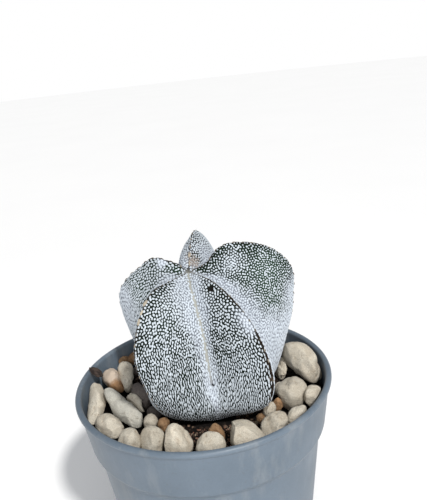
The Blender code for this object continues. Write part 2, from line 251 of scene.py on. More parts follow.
def finishMaterial(tree, shader, base, height, strength, distance):
    # the colour that shows, and the fine relief in it
    bump = placeNode(tree, "Bump", {"Strength": strength, "Distance": distance})
    wire(tree, height, bump.inputs["Height"])
    tree.links.new(base, shader.inputs["Base Color"])
    tree.links.new(bump.outputs["Normal"], shader.inputs["Normal"])


def newGroup(name, inlets, outlets):
    group = bpy.data.node_groups.new(name, "ShaderNodeTree")
    group.interface.new_socket("Place", in_out="INPUT", socket_type="NodeSocketVector")
    for names, way in ((inlets, "INPUT"), (outlets, "OUTPUT")):
        for socket in names:
            group.interface.new_socket(socket, in_out=way, socket_type="NodeSocketFloat")
    return group, group.nodes.new("NodeGroupInput"), group.nodes.new("NodeGroupOutput")


# uneven colour at two sizes, for stone, peat, bark and plastic alike
def makeMottle():
    group, start, end = newGroup("mottle", ("Blotch Scale", "Grain Scale", "Grain Share"), ("Mask", "Grain"))
    blotch = placeNode(group, "TexNoise", {"Detail": 4.0, "Roughness": 0.6})
    grain = placeNode(group, "TexNoise", {"Detail": 3.0, "Roughness": 0.65})
    for node, scale in ((blotch, "Blotch Scale"), (grain, "Grain Scale")):
        group.links.new(start.outputs["Place"], node.inputs["Vector"])
        group.links.new(start.outputs[scale], node.inputs["Scale"])
    mixed = placeNode(group, "Mix", data_type="FLOAT")
    group.links.new(start.outputs["Grain Share"], mixed.inputs[0])
    group.links.new(blotch.outputs[0], mixed.inputs[2])
    group.links.new(grain.outputs[0], mixed.inputs[3])
    group.links.new(mixed.outputs[0], end.inputs["Mask"])
    group.links.new(grain.outputs[0], end.inputs["Grain"])
    return group


# small round holes, in patches, for stone and for the specks on the plastic
def makePitting():
    group, start, end = newGroup("pitting", ("Scale", "Amount"), ("Depth",))
    cells = placeNode(group, "TexVoronoi", {"Randomness": 1.0})
    patches = placeNode(group, "TexNoise", {"Detail": 2.0})
    for node, share in ((cells, 1.0), (patches, 0.2)):
        group.links.new(start.outputs["Place"], node.inputs["Vector"])
        group.links.new(sums(group, "MULTIPLY", start.outputs["Scale"], share), node.inputs["Scale"])
    near = rampOf(group, cells.outputs["Distance"], [(0.0, 1.0), (0.32, 0.0)])
    where = rampOf(group, patches.outputs[0], [(0.42, 0.0), (0.62, 1.0)])
    depth = sums(group, "MULTIPLY", sums(group, "MULTIPLY", near, where), start.outputs["Amount"])
    group.links.new(depth, end.inputs["Depth"])
    return group


def useGroup(tree, group, place, values):
    node = placeNode(tree, "Group")
    node.node_tree = group
    for name, value in values.items():
        node.inputs[name].default_value = value
    tree.links.new(place, node.inputs["Place"])
    return node.outputs


def unevenness(tree, place, blotch, grain, share):
    # both sizes mixed, and the fine one alone
    found = useGroup(tree, mottle, place, {"Blotch Scale": blotch, "Grain Scale": grain, "Grain Share": share})
    return found["Mask"], found["Grain"]


mottle = makeMottle()
pitting = makePitting()


# camera, light and floor

pictureMiddle = (213.5, 250.0)
pictureReach = 600.0    # how many picture points away the picture lies from the eye

view = {
    "place": (0.0, -0.178346, 0.171892),
    "aim": (0.04323, 0.94824, -0.31461),
    "roll": -6.26,
    "lens": 43.2,
    "sensor": 36.0,
    "nearest": 0.002,
}

studio = {
    "lampsAround": (0, 0, 0.09),
    "keyFrom": (0.25, -0.55, 0.64),
    "keyColour": (1.0, 0.985, 0.96),
    "keyStrength": 2.6,
    "keySpread": 4.5,
    "frontFrom": (0.04, -0.70, 0.16),
    "frontPower": 2.2,
    "frontSize": 0.5,
    "fillStrength": 0.44,
    "fillColour": (0.95, 0.97, 1.0),
    "floorTone": 0.97,
    "floorRadius": 4.0,
}


def pictureAxes():
    # which ways are right, up and ahead in the picture
    ahead = Vector(view["aim"]).normalized()
    side = ahead.cross(Vector((0, 0, 1))).normalized()
    top = side.cross(ahead)
    roll = math.radians(view["roll"])
    right = side * math.cos(roll) + top * math.sin(roll)
    up = top * math.cos(roll) - side * math.sin(roll)
    return right, up, ahead


def addCamera():
    data = bpy.data.cameras.new("camera")
    camera = addObject("camera", data)
    right, up, ahead = pictureAxes()
    turn = Matrix((right, up, -ahead)).transposed().to_4x4()
    turn.translation = view["place"]
    camera.matrix_world = turn
    data.sensor_fit = "VERTICAL"
    data.sensor_height = view["sensor"]
    data.lens = view["lens"]
    data.clip_start = view["nearest"]
    bpy.context.scene.camera = camera


def addLamp(name, kind, start, **settings):
    data = bpy.data.lights.new(name, kind)
    for setting, value in settings.items():
        setattr(data, setting, value)
    lamp = addObject(name, data)
    lamp.location = Vector(studio["lampsAround"]) + Vector(start)
    lamp.rotation_euler = Vector(start).to_track_quat("Z", "Y").to_euler()


def addLights():
    addLamp("key", "SUN", studio["keyFrom"], energy=studio["keyStrength"],
            angle=math.radians(studio["keySpread"]), color=studio["keyColour"])
    addLamp("front", "AREA", studio["frontFrom"], energy=studio["frontPower"], size=studio["frontSize"])

    # the camera sees plain white where the model is lit by a soft sky
    world = bpy.data.worlds.new("soft studio")
    bpy.context.scene.world = world
    world.use_nodes = True
    tree = world.node_tree
    sky = tree.nodes["Background"]
    sky.inputs["Color"].default_value = colour(*studio["fillColour"])
    sky.inputs["Strength"].default_value = studio["fillStrength"]
    seen = placeNode(tree, "Background", {"Color": colour(1, 1, 1), "Strength": 1.0})
    mix = placeNode(tree, "MixShader")
    shares = placeNode(tree, "LightPath").outputs["Is Camera Ray"], sky.outputs[0], seen.outputs[0]
    for source, sink in zip(shares, mix.inputs):
        tree.links.new(source, sink)
    tree.links.new(mix.outputs[0], tree.nodes["World Output"].inputs[0])
    bpy.context.scene.view_settings.view_transform = "Standard"


def addFloor():
    floor = addShape(bpy.ops.mesh.primitive_circle_add, "floor", vertices=96, radius=studio["floorRadius"],
                     fill_type="NGON", location=(0, 0, 0))
    material, tree, shader, place = newMaterial("floor_card", 0.9, 0.2)
    tone = studio["floorTone"]
    cloudy = noiseAt(tree, place, {"Scale": 6.0, "Detail": 3.0})
    tree.links.new(rampOf(tree, cloudy, [(0.3, tone), (0.7, tone * 0.985)]), shader.inputs["Base Color"])
    floor.data.materials.append(material)


addCamera()
addLights()
addFloor()
print("camera, lights and floor are set")


# pot

pot = {
    "height": 70,
    "rimRadius": 42.45,
    "bead": 1.0,
    "wall": 1.0,
    "baseRadius": 31.6,
    "collarDrop": 16.2,
    "shoulderDrop": 19.0,
    "step": 1.5,
    "slope": 7.8,
    "sides": 160,
    "holes": 8,
    "holeRadius": 2.6,
    "holeCircle": 20.0,
    "plastic": (0.100, 0.132, 0.168),
}


def collarRadius(drop):
    return pot["rimRadius"] - 0.85 * pot["bead"] - (drop - 2 * pot["bead"]) * math.tan(math.radians(pot["slope"]))


def innerRadius(drop):
    return min(pot["rimRadius"] - 2 * pot["bead"], collarRadius(drop) - pot["wall"])


def bodyRadius(height):
    top = pot["height"] - pot["shoulderDrop"]
    topRadius = collarRadius(pot["collarDrop"]) - pot["step"] - 0.4
    return pot["baseRadius"] + (topRadius - pot["baseRadius"]) * height / top


def potOutline():
    # radius and height in mm: under the floor, up the outside, over the bead and down the inside
    high, base, bead = pot["height"], pot["baseRadius"], pot["bead"]
    shoulder, foot = high - pot["shoulderDrop"], high - pot["collarDrop"]
    outline = [(6.0, 1.0), (12.0, 1.0), (26.5, 1.0), (27.0, 0.85), (27.5, 0.1), (27.75, 0.0), (base - 0.5, 0.0),
               (base - 0.15, 0.12), (bodyRadius(0.5), 0.5)]
    outline += [(bodyRadius(h), h) for h in (4, 12, 20, 28, 36, 44, shoulder - 0.8)]
    top = bodyRadius(shoulder)
    lip = collarRadius(pot["collarDrop"])
    outline += [(top + 0.02, shoulder - 0.1), (top + 0.3, shoulder + 0.45), (lip - 0.55, foot - 0.75),
                (lip - 0.12, foot - 0.3), (lip, foot + 0.1), (lip + 0.05, foot + 0.6)]
    outline += [(collarRadius(d), high - d) for d in (13, 10, 7, 4.4, 2.7)]
    outline.append((collarRadius(2.3) + 0.03, high - 2.2))
    for part in range(15):
        angle = math.radians(-55 + 240 * part / 14)
        outline.append((pot["rimRadius"] - bead + bead * math.cos(angle), high - bead + bead * math.sin(angle)))
    outline += [(innerRadius(d), high - d) for d in (2.4, 4, 7, 10, 13)]
    outline += [(innerRadius(pot["collarDrop"]), foot - 0.4), (bodyRadius(shoulder) - 1.0, shoulder - 0.8)]
    outline += [(bodyRadius(h) - 1.0, h) for h in (40, 28, 16, 6, 3.2)]
    return outline + [(bodyRadius(2.5) - 1.8, 2.5), (12.0, 2.5), (6.0, 2.5)]


def makePot():
    outline = potOutline()
    radius, height = outline[0]
    shell = addShape(bpy.ops.mesh.primitive_circle_add, "pot_shell", vertices=pot["sides"], radius=radius * mm,
                     location=(0, 0, height * mm))
    bpy.ops.object.transform_apply(location=True, rotation=True, scale=True)
    editAll(shell)
    for (oldRadius, oldHeight), (radius, height) in zip(outline, outline[1:]):
        bpy.ops.mesh.extrude_region_move(TRANSFORM_OT_translate={"value": (0, 0, (height - oldHeight) * mm)})
        grow = radius / oldRadius
        bpy.ops.transform.resize(value=(grow, grow, 1), center_override=(0, 0, height * mm))
    bpy.ops.mesh.edge_face_add()
    bpy.ops.mesh.poke()
    bpy.ops.mesh.select_all(action="DESELECT")
    bpy.ops.mesh.select_mode(type="EDGE")
    bpy.ops.mesh.select_non_manifold()
    bpy.ops.mesh.edge_face_add()
    bpy.ops.mesh.poke()
    bpy.ops.mesh.select_all(action="SELECT")
    bpy.ops.mesh.normals_make_consistent(inside=False)
    endEdit()

    circle = pot["holeCircle"]
    for number in range(pot["holes"]):
        turn = math.tau * number / pot["holes"]
        drill = addShape(bpy.ops.mesh.primitive_cylinder_add, "drill", vertices=32, radius=pot["holeRadius"] * mm,
                         depth=8 * mm, location=(circle * mm * math.cos(turn), circle * mm * math.sin(turn), 1.5 * mm))
        keepOnly(shell)
        cut = shell.modifiers.new("drain hole", "BOOLEAN")
        cut.operation = "DIFFERENCE"
        cut.object = drill
        bpy.ops.object.modifier_apply(modifier=cut.name)
        bpy.data.objects.remove(drill, do_unlink=True)
    keepOnly(shell)
    bpy.ops.object.shade_smooth_by_angle(angle=math.radians(40))
    settle(shell, "pot_plastic", potPlastic(), "pot")


def potPlastic():
    material, tree, shader, place = newMaterial("pot_plastic", 0.42, 0.45)
    mask, grain = unevenness(tree, place, 60.0, 1400.0, 0.25)
    pale = colour(*(part * 1.16 + 0.012 for part in pot["plastic"]))
    body = blendColours(tree, rampOf(tree, mask, [(0.35, 0.0), (0.7, 1.0)]), colour(*pot["plastic"]), pale)
    # a thin film of lime and dust in upright streaks, and small dark specks
    streak = placeNode(tree, "Mapping", {"Scale": (1.0, 1.0, 0.25)})
    tree.links.new(place, streak.inputs["Vector"])
    smear = noiseAt(tree, streak.outputs[0], {"Scale": 130.0, "Detail": 5.0, "Roughness": 0.7})
    film = rampOf(tree, smear, [(0.5, 0.0), (0.78, 0.30)])
    dusty = blendColours(tree, film, body, colour(0.40, 0.40, 0.38))
    dust = useGroup(tree, pitting, place, {"Scale": 700.0, "Amount": 0.55})["Depth"]
    specked = blendColours(tree, sums(tree, "MULTIPLY", dust, 0.45), dusty, colour(0.09, 0.08, 0.07))
    tree.links.new(rampOf(tree, smear, [(0.35, 0.36), (0.75, 0.56)]), shader.inputs["Roughness"])
    finishMaterial(tree, shader, specked, grain, 0.10, 0.00012)
    return material


makePot()
print("pot is turned")


# soil

soil = {
    "cuts": 6,
    "lumps": 0.55,
    "cutBelowRim": 14,
    "lumpsBelowRim": 12.4,
    "reach": 0.0385,
    "chunks": 5,
    "flatness": 0.7,
    "dropFrom": 0.002,
    "headroom": 0.0012,
    "plantMiddle": 0.0015,
    "plantReach": 0.0165,
    "crumbs": 1500,
    "crumbTries": 4500,
    "crumbSize": (0.35, 1.25),
    "crumbCircle": 40.0,
    "crumbRing": (0.12, 0.93),
    "crumbLift": 0.18,
    "grit": 460,
    "gritTries": 4200,
    "gritSize": (0.24, 0.58),
    "gritAcross": (-14, 22),
    "gritAlong": (-37, -18),
    "gritLift": 0.3,
    "largeShare": 0.08,
    "largeTimes": 2.2,
    "peat": (0.004, 0.003, 0.0025),
    "peatPale": (0.024, 0.015, 0.012),
    "crumb": (0.020, 0.013, 0.010),
    "crumbPale": (0.12, 0.078, 0.052),
}


def makeSoil():
    bed = copyOfNode("soil", "peat_bed")
    editAll(bed)
    bpy.ops.mesh.select_all(action="DESELECT")
    edit = bmesh.from_edit_mesh(bed.data)
    for face in edit.faces:
        middle = face.calc_center_median()
        face.select = face.normal.z > 0.3 and middle.z > rimHeight - soil["cutBelowRim"] * mm
    bmesh.update_edit_mesh(bed.data)
    bpy.ops.mesh.subdivide(number_cuts=soil["cuts"])
    endEdit()
    points = pointsOf(bed)
    reach = np.hypot(points[:, 0], points[:, 1])
    onTop = (points[:, 2] > rimHeight - soil["lumpsBelowRim"] * mm) & (reach < soil["reach"])
    top = points[onTop]
    lumps = cloud(top, 2.6 * mm, 1) + 0.6 * cloud(top, 1.3 * mm, 2) + 0.4 * cloud(top, 0.7 * mm, 3)
    top[:, 2] += (np.clip(lumps, -0.9, 0.45) - 0.45) * soil["lumps"] * mm
    points[onTop] = top
    movePoints(bed, points)
    giveValues(bed, "tone", np.full(len(points), 0.5))
    keepOnly(bed)
    bpy.ops.object.shade_smooth_by_angle(angle=math.radians(50))
    settle(bed, "soil", peatMaterial("peat", soil["peat"], soil["peatPale"]), "soil")
    return bed


def peatMaterial(name, dark, pale):
    material, tree, shader, place = newMaterial(name, 0.95, 0.25)
    mask, grain = unevenness(tree, place, 420.0, 2600.0, 0.5)
    share = rampOf(tree, mask, [(0.42, 0.0), (0.6, 0.35), (0.72, 1.0)])
    body = blendColours(tree, share, colour(*dark), colour(*pale))
    toned = shadeBy(tree, 1.0, body, valueNamed(tree, "tone"), (0.0, 0.3), (0.5, 0.9), (0.8, 3.0), (1.0, 6.5))
    finishMaterial(tree, shader, toned, grain, 0.6, 0.0003)
    return material


def makeChunk(seed):
    # one crumb: a cube cut once, rounded and knocked out of true
    chunk = addShape(bpy.ops.mesh.primitive_cube_add, "crumb", size=1.0, location=(0, 0, 0))
    editAll(chunk)
    bpy.ops.mesh.subdivide(number_cuts=1)
    bpy.ops.transform.tosphere(value=0.75)
    bpy.ops.transform.resize(value=(1.0, 0.8, soil["flatness"]))
    endEdit()
    return takeShape(chunk, 0.55, 0.7, seed)


def gather(name, shapes, places, smooth=False):
    # every place is a shape's number, a 4 x 4 matrix and a tone
    points, faces, tones, count = [], [], [], 0
    for number, matrix, tone in places:
        own, sides = shapes[number]
        points.append(own @ np.array(matrix.to_3x3()).T + np.array(matrix.translation))
        faces += [tuple(corner + count for corner in side) for side in sides]
        tones.append(np.full(len(own), tone))
        count += len(own)
    piece = pieceFrom(name, np.concatenate(points), faces, smooth)
    giveValues(piece, "tone", np.concatenate(tones))
    return piece


def dropOn(trees, plant, spots):
    # where things let fall at the spots come to lie on the bed, clear of stones and plant
    landed = []
    for x, y in spots:
        best, carrier = None, None
        for name, tree in trees.items():
            hit = tree.ray_cast(Vector((x, y, rimHeight + soil["dropFrom"])), Vector((0, 0, -1)))[0]
            if hit is not None and (best is None or hit.z > best.z):
                best, carrier = hit, name
        if carrier == "bed" and math.hypot(x - soil["plantMiddle"], y) >= soil["plantReach"]:
            if plant.ray_cast(best, Vector((0, 0, 1)), soil["headroom"])[0] is None:
                landed.append(best)
    return landed


def looseTurn(draw):
    spin = Matrix.Rotation(draw.uniform(0, math.tau), 4, "Z") @ Matrix.Rotation(draw.uniform(-0.5, 0.5), 4, "X")
    return spin @ Matrix.Rotation(draw.uniform(-0.5, 0.5), 4, "Y")


def strew(draw, landings, most, sizes, lift, largeShare=0):
    places = []
    for where in landings[:most]:
        size = draw.uniform(*sizes) * mm
        if largeShare and draw.random() < largeShare:
            size *= soil["largeTimes"]
        place = Matrix.Translation(where + Vector((0, 0, size * lift))) @ looseTurn(draw) @ Matrix.Scale(size, 4)
        places.append((draw.randrange(soil["chunks"]), place, draw.uniform(0, 1)))
    return places


def makeCrumbs(bed, stones):
    draw = random.Random(31)
    shapes = [makeChunk(4 + k) for k in range(soil["chunks"])]
    trees = {piece.name: treeOf(piece) for piece in stones}
    trees["bed"] = treeOf(bed)
    plant = treeOf(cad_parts["cactus_body"])
    spots = []
    for _ in range(soil["crumbTries"]):
        turn, reach = draw.uniform(0, math.tau), soil["crumbCircle"] * math.sqrt(draw.uniform(*soil["crumbRing"]))
        spots.append((reach * mm * math.cos(turn), reach * mm * math.sin(turn)))
    crumbs = strew(draw, dropOn(trees, plant, spots), soil["crumbs"], soil["crumbSize"], soil["crumbLift"])
    spots = [(draw.uniform(*soil["gritAcross"]) * mm, draw.uniform(*soil["gritAlong"]) * mm)
             for _ in range(soil["gritTries"])]
    grit = strew(draw, dropOn(trees, plant, spots), soil["grit"], soil["gritSize"], soil["gritLift"],
                 soil["largeShare"])
    loose = gather("peat_crumbs", shapes, crumbs)
    settle(loose, "soil", peatMaterial("peat_crumb", soil["crumb"], soil["crumbPale"]))
    settle(gather("tan_grit", shapes, grit), "soil", gritMaterial())
    return len(crumbs), len(grit)


def gritMaterial():
    material, tree, shader, place = newMaterial("tan_grit", 0.8, 0.35)
    tones = [(0.0, colour(0.25, 0.11, 0.07)), (0.4, colour(0.34, 0.21, 0.15)), (0.7, colour(0.13, 0.085, 0.06)),
             (1.0, colour(0.46, 0.37, 0.27))]
    mask = unevenness(tree, place, 900.0, 4000.0, 0.5)[0]
    spotted = shadeBy(tree, 0.4, rampOf(tree, valueNamed(tree, "tone"), tones), mask, (0.3, 0.3), (0.7, 1.0))
    tree.links.new(spotted, shader.inputs["Base Color"])
    return material


# pebbles

pebble = {
    "levels": 3,
    "hiddenLevels": 2,
    "firstHidden": 29,
    "facets": 7,
    "facetDepth": (0.80, 0.93),
    "facetCut": 0.82,
    "lumps": 0.45,
    "pits": 0.30,
    "letOut": (0.72, 1.38),
    "shift": 1.3 / 200,
    "outlineParts": 30,
    "colours": {
        "cream": ((0.55, 0.485, 0.385), (0.68, 0.63, 0.53), (0.36, 0.27, 0.18)),
        "grey": ((0.56, 0.545, 0.48), (0.70, 0.67, 0.59), (0.36, 0.32, 0.25)),
        "rust": ((0.26, 0.145, 0.070), (0.36, 0.225, 0.125), (0.15, 0.075, 0.035)),
        # the dark kind stands for cream stones that lie in the plant's shadow, coloured dark grey-brown: painted shadow
        "dark": ((0.125, 0.105, 0.096), (0.18, 0.155, 0.14), (0.065, 0.052, 0.046)),
    },
}


def stoneMaterial(kind):
    base, pale, stain = (colour(*part) for part in pebble["colours"][kind])
    material, tree, shader, place = newMaterial("pebble_" + kind, 0.86, 0.3)
    mask, grain = unevenness(tree, place, 230.0, 2200.0, 0.35)
    pits = useGroup(tree, pitting, place, {"Scale": 1500.0, "Amount": 0.9})["Depth"]
    body = blendColours(tree, rampOf(tree, mask, [(0.36, 0.0), (0.66, 1.0)]), base, pale)
    patches = noiseAt(tree, place, {"Scale": 95.0, "Detail": 4.0, "Roughness": 0.62})
    stained = blendColours(tree, rampOf(tree, patches, [(0.58, 0.0), (0.75, 0.55)]), body, stain)
    pitted = shadeBy(tree, 1.0, stained, valueNamed(tree, "tone"), (0.0, 0.82), (0.6, 1.0), (1.0, 1.25))
    for depth in (valueNamed(tree, "hollow"), pits):
        pitted = blendColours(tree, sums(tree, "MULTIPLY", depth, 0.55), pitted, stain)
    grains = noiseAt(tree, place, {"Scale": 5200.0, "Detail": 2.0})
    specked = shadeBy(tree, 0.9, pitted, grains, (0.36, 0.70), (0.6, 1.05))
    relief = sums(tree, "SUBTRACT", grain, sums(tree, "MULTIPLY", pits, 1.6))
    finishMaterial(tree, shader, specked, relief, 0.8, 0.00032)
    return material


def twoToneMaterial():
    # the pinkish stone whose lower half is orange brown
    material, tree, shader, place = newMaterial("pebble_two_tone", 0.84, 0.3)
    mask, grain = unevenness(tree, place, 260.0, 2200.0, 0.35)
    low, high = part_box("pebble_rust_02")
    centred = placeNode(tree, "Mapping", {"Location": -(low + high) / 2}, vector_type="POINT")
    tree.links.new(place, centred.inputs["Vector"])
    along = placeNode(tree, "VectorMath", operation="DOT_PRODUCT")
    along.inputs[1].default_value = (-0.30, 0.62, 0.72)
    tree.links.new(centred.outputs[0], along.inputs[0])
    level = sums(tree, "ADD", sums(tree, "MULTIPLY", along.outputs["Value"], 160.0), mask)
    share = rampOf(tree, level, [(0.30, 0.0), (0.62, 1.0)])
    body = blendColours(tree, share, colour(0.36, 0.205, 0.105), colour(0.60, 0.49, 0.39))
    mottled = shadeBy(tree, 0.6, body, mask, (0.3, 0.78), (0.7, 1.08))
    finishMaterial(tree, shader, mottled, grain, 0.5, 0.00028)
    return material


# flats that show on single stones: their direction and how deep they cut
ownFlats = {
    4: [((0.55, -0.75, 0.35), 0.72)],
    7: [((0.2, -0.5, 0.84), 0.80)],
    10: [((-0.75, -0.4, 0.5), 0.78), ((0.7, -0.45, 0.55), 0.80)],
    12: [((0.72, -0.2, 0.66), 0.60), ((-0.5, -0.8, 0.3), 0.80)],
    13: [((0.0, -0.25, 0.97), 0.74), ((0.0, -0.9, 0.4), 0.85)],
    15: [((0.66, -0.05, 0.75), 0.50), ((-0.95, -0.1, 0.1), 0.62), ((0.05, -0.80, 0.58), 0.72),
         ((-0.1, 0.2, 0.97), 0.80)],
    18: [((-0.6, -0.5, 0.62), 0.74), ((0.3, -0.2, 0.93), 0.82)],
    23: [((-0.6, -0.6, 0.53), 0.78), ((0.75, -0.55, 0.35), 0.82)],
}

# single stones that are paler or darker than their kind. Stones 01, 04, 05 and 22 are made paler to stand in for the
# light that the plant keeps off them here: painted light
ownTonesAndPaintedLight = {1: 0.85, 3: 1.0, 4: 1.0, 5: 1.0, 6: 0.3, 12: 0.7, 16: 0.0, 22: 1.0, 24: 0.9, 26: 0.8, 28: 1.0}

# where the outlines of the stones in front run in the picture, across and down
stoneOutlines = {
    1: [(105.1, 383.6), (104.6, 392.9), (105.4, 404.3), (101.6, 412.9), (95.9, 420.0), (93.0, 427.1),
         (88.7, 422.9), (86.9, 415.7), (87.7, 407.9), (89.7, 400.0), (88.9, 391.4), (90.1, 384.3),
         (94.0, 379.7), (99.4, 379.0)],
    2: [(101.6, 377.1), (104.4, 371.4), (111.6, 367.4), (116.3, 370.0), (120.1, 377.1), (124.4, 386.4),
         (123.4, 393.6), (116.6, 391.4), (107.3, 385.7)],
    3: [(118.7, 360.7), (120.9, 357.1), (125.1, 356.1), (129.7, 357.1), (132.0, 360.7), (130.9, 367.1),
         (123.7, 368.6), (119.4, 365.7)],
    4: [(117.3, 365.0), (120.9, 362.1), (128.0, 361.4), (133.4, 362.6), (132.6, 372.9), (132.0, 382.9),
         (132.0, 391.4), (128.3, 394.3), (124.4, 391.4), (123.7, 384.3), (119.4, 374.3)],
    5: [(125.1, 393.6), (128.7, 390.7), (132.3, 391.4), (134.9, 401.4), (140.9, 404.3), (145.4, 410.3),
         (143.0, 413.1), (138.0, 411.0), (133.4, 407.9), (128.3, 400.7)],
    6: [(102.3, 387.1), (105.9, 386.1), (112.3, 388.6), (120.9, 395.0), (127.3, 401.4), (135.1, 407.9),
         (143.0, 412.9), (145.7, 415.7), (143.3, 422.9), (139.4, 428.9), (135.1, 428.9), (127.3, 425.3),
         (119.4, 420.6), (112.3, 413.9), (108.0, 406.0), (104.4, 397.1), (102.0, 391.4)],
    7: [(94.4, 423.6), (96.6, 417.1), (102.3, 412.9), (109.4, 412.6), (115.4, 415.7), (121.1, 422.9),
         (125.4, 428.6), (120.0, 436.0), (116.6, 438.4), (110.9, 438.1), (103.7, 436.0), (97.3, 429.6)],
    8: [(118.4, 440.0), (120.9, 431.7), (125.4, 428.3), (131.6, 427.1), (136.9, 430.0), (140.4, 437.1),
         (140.6, 445.7), (136.6, 455.7), (128.0, 460.7), (120.9, 455.7)],
    9: [(143.4, 421.4), (146.3, 415.7), (151.1, 412.9), (155.9, 416.0), (158.3, 421.4), (158.0, 427.1),
         (152.3, 430.0), (146.6, 430.0)],
    10: [(140.9, 432.9), (144.4, 426.9), (150.9, 425.4), (158.0, 427.1), (164.9, 432.9), (165.1, 442.9),
          (162.3, 451.4), (156.6, 458.6), (149.4, 459.3), (142.3, 452.9), (140.1, 442.9)],
    11: [(159.1, 419.3), (164.4, 417.1), (169.7, 421.4), (167.7, 425.7), (165.4, 433.1), (162.3, 433.1),
          (159.4, 428.6)],
    12: [(166.6, 430.0), (167.3, 424.3), (172.6, 422.6), (178.3, 424.3), (184.4, 428.6), (190.1, 435.7),
          (193.3, 444.3), (192.3, 451.4), (183.7, 459.3), (172.3, 459.3), (165.4, 452.9), (164.9, 440.0)],
    13: [(196.7, 442.5), (199.7, 436.7), (203.0, 433.3), (208.3, 431.5), (215.0, 431.0), (220.0, 433.3),
          (223.8, 437.5), (226.0, 446.7), (225.0, 454.2), (215.0, 462.5), (203.3, 462.5), (197.2, 454.2)],
    14: [(208.3, 430.8), (211.3, 425.8), (214.7, 422.2), (217.7, 424.2), (222.3, 429.2), (225.0, 435.3),
          (224.5, 440.3), (218.3, 442.0), (211.7, 441.3), (208.7, 435.8)],
    15: [(230.0, 444.2), (231.0, 435.0), (232.7, 420.7), (236.7, 418.7), (243.3, 419.7), (250.0, 420.3),
          (257.0, 427.0), (265.3, 436.7), (262.0, 443.7), (248.3, 447.8), (235.0, 448.7)],
    16: [(257.2, 416.7), (260.8, 413.0), (264.5, 415.8), (263.7, 420.3), (260.0, 422.3), (257.2, 420.0)],
    17: [(263.0, 413.3), (266.7, 405.3), (271.7, 401.0), (275.7, 405.0), (275.3, 411.7), (272.0, 416.2),
          (265.0, 417.0)],
    18: [(260.0, 425.8), (263.0, 420.0), (270.0, 413.3), (278.3, 410.5), (286.7, 413.3), (289.0, 419.2),
          (285.3, 427.0), (280.3, 432.3), (273.3, 439.2), (265.0, 440.3), (261.0, 433.3)],
    19: [(284.7, 420.8), (288.0, 415.0), (296.7, 406.7), (303.7, 404.3), (307.3, 408.3), (305.3, 415.3),
          (297.0, 422.3), (290.0, 427.0), (285.5, 425.7)],
    20: [(303.3, 393.3), (306.7, 387.0), (313.3, 384.7), (320.7, 387.0), (321.2, 394.2), (316.7, 402.3),
          (310.3, 407.3), (306.3, 403.3)],
    21: [(275.8, 384.2), (283.3, 381.7), (287.0, 376.7), (293.3, 375.7), (303.7, 380.8), (308.0, 388.3),
          (305.3, 397.0), (303.7, 404.2), (296.7, 409.0), (290.5, 411.3), (283.8, 407.8), (280.5, 401.2),
          (278.0, 395.0), (275.3, 391.7)],
    22: [(273.8, 386.7), (280.0, 381.7), (285.8, 384.2), (285.3, 391.7), (279.2, 396.2), (273.8, 394.5)],
    23: [(281.3, 348.3), (286.7, 341.7), (296.7, 341.0), (307.0, 345.0), (314.0, 351.7), (317.0, 363.3),
          (322.3, 370.8), (322.0, 377.5), (317.7, 384.0), (309.7, 382.8), (301.7, 376.2), (293.3, 369.2),
          (285.8, 363.3), (281.3, 356.7)],
    24: [(284.2, 357.5), (287.5, 365.0), (286.7, 372.5), (283.7, 380.0), (277.5, 381.2), (274.7, 374.2),
          (275.8, 363.3)],
    25: [(132.0, 366.4), (135.1, 364.6), (138.7, 365.7), (142.6, 372.9), (141.9, 379.3), (136.6, 382.9),
          (132.3, 378.6)],
    26: [(131.1, 390.0), (133.0, 384.3), (136.6, 382.3), (140.9, 382.9), (145.4, 388.6), (151.9, 398.6),
          (149.7, 407.1), (145.1, 411.7), (139.4, 406.4), (134.4, 401.4)],
    27: [(147.0, 412.9), (151.1, 404.3), (155.9, 405.4), (160.6, 411.4), (160.9, 418.6), (155.1, 424.3),
          (149.4, 422.1)],
    28: [(273.8, 400.8), (277.5, 397.2), (281.7, 401.7), (282.0, 408.3), (278.3, 411.2), (273.8, 409.2)],
}


def fitOutline(points, marks):
    # lets a stone out or in, level with the picture, until its outline runs through the marks as far
    # as the limits allow. What it shifts by is a share of its distance, 1.3 mm at 200 mm
    right, up, ahead = (np.array(way) for way in pictureAxes())
    seen = points - np.array(view["place"])
    depth = seen @ ahead
    flat = np.stack([seen @ right, seen @ up], axis=1) / depth[:, None]
    marks = (np.array(marks) - np.array(pictureMiddle)) * np.array([1, -1]) / pictureReach
    old, new = (flat.max(axis=0) + flat.min(axis=0)) / 2, (marks.max(axis=0) + marks.min(axis=0)) / 2
    offsets = flat - old
    turns, reach = np.arctan2(offsets[:, 1], offsets[:, 0]), np.linalg.norm(offsets, axis=1)
    parts = pebble["outlineParts"]
    slots = np.floor((turns + math.pi) / math.tau * parts).astype(int) % parts
    edge = np.array([reach[slots == k].max() if (slots == k).any() else 0 for k in range(parts)])
    spread = marks - new
    markTurns = np.arctan2(spread[:, 1], spread[:, 0])
    order = np.argsort(markTurns)
    middles = (np.arange(parts) + 0.5) / parts * math.tau - math.pi
    wanted = np.interp(middles, markTurns[order], np.linalg.norm(spread, axis=1)[order], period=math.tau)
    share = np.clip(wanted / edge, *pebble["letOut"])
    share = (np.roll(share, 1) + 2 * share + np.roll(share, -1)) / 4
    ratio = np.interp(turns, middles, share, period=math.tau)
    flat = old + np.clip(new - old, -pebble["shift"], pebble["shift"]) + offsets * ratio[:, None]
    moved = flat[:, :1] * right + flat[:, 1:] * up + ahead
    return np.array(view["place"]) + moved * depth[:, None]


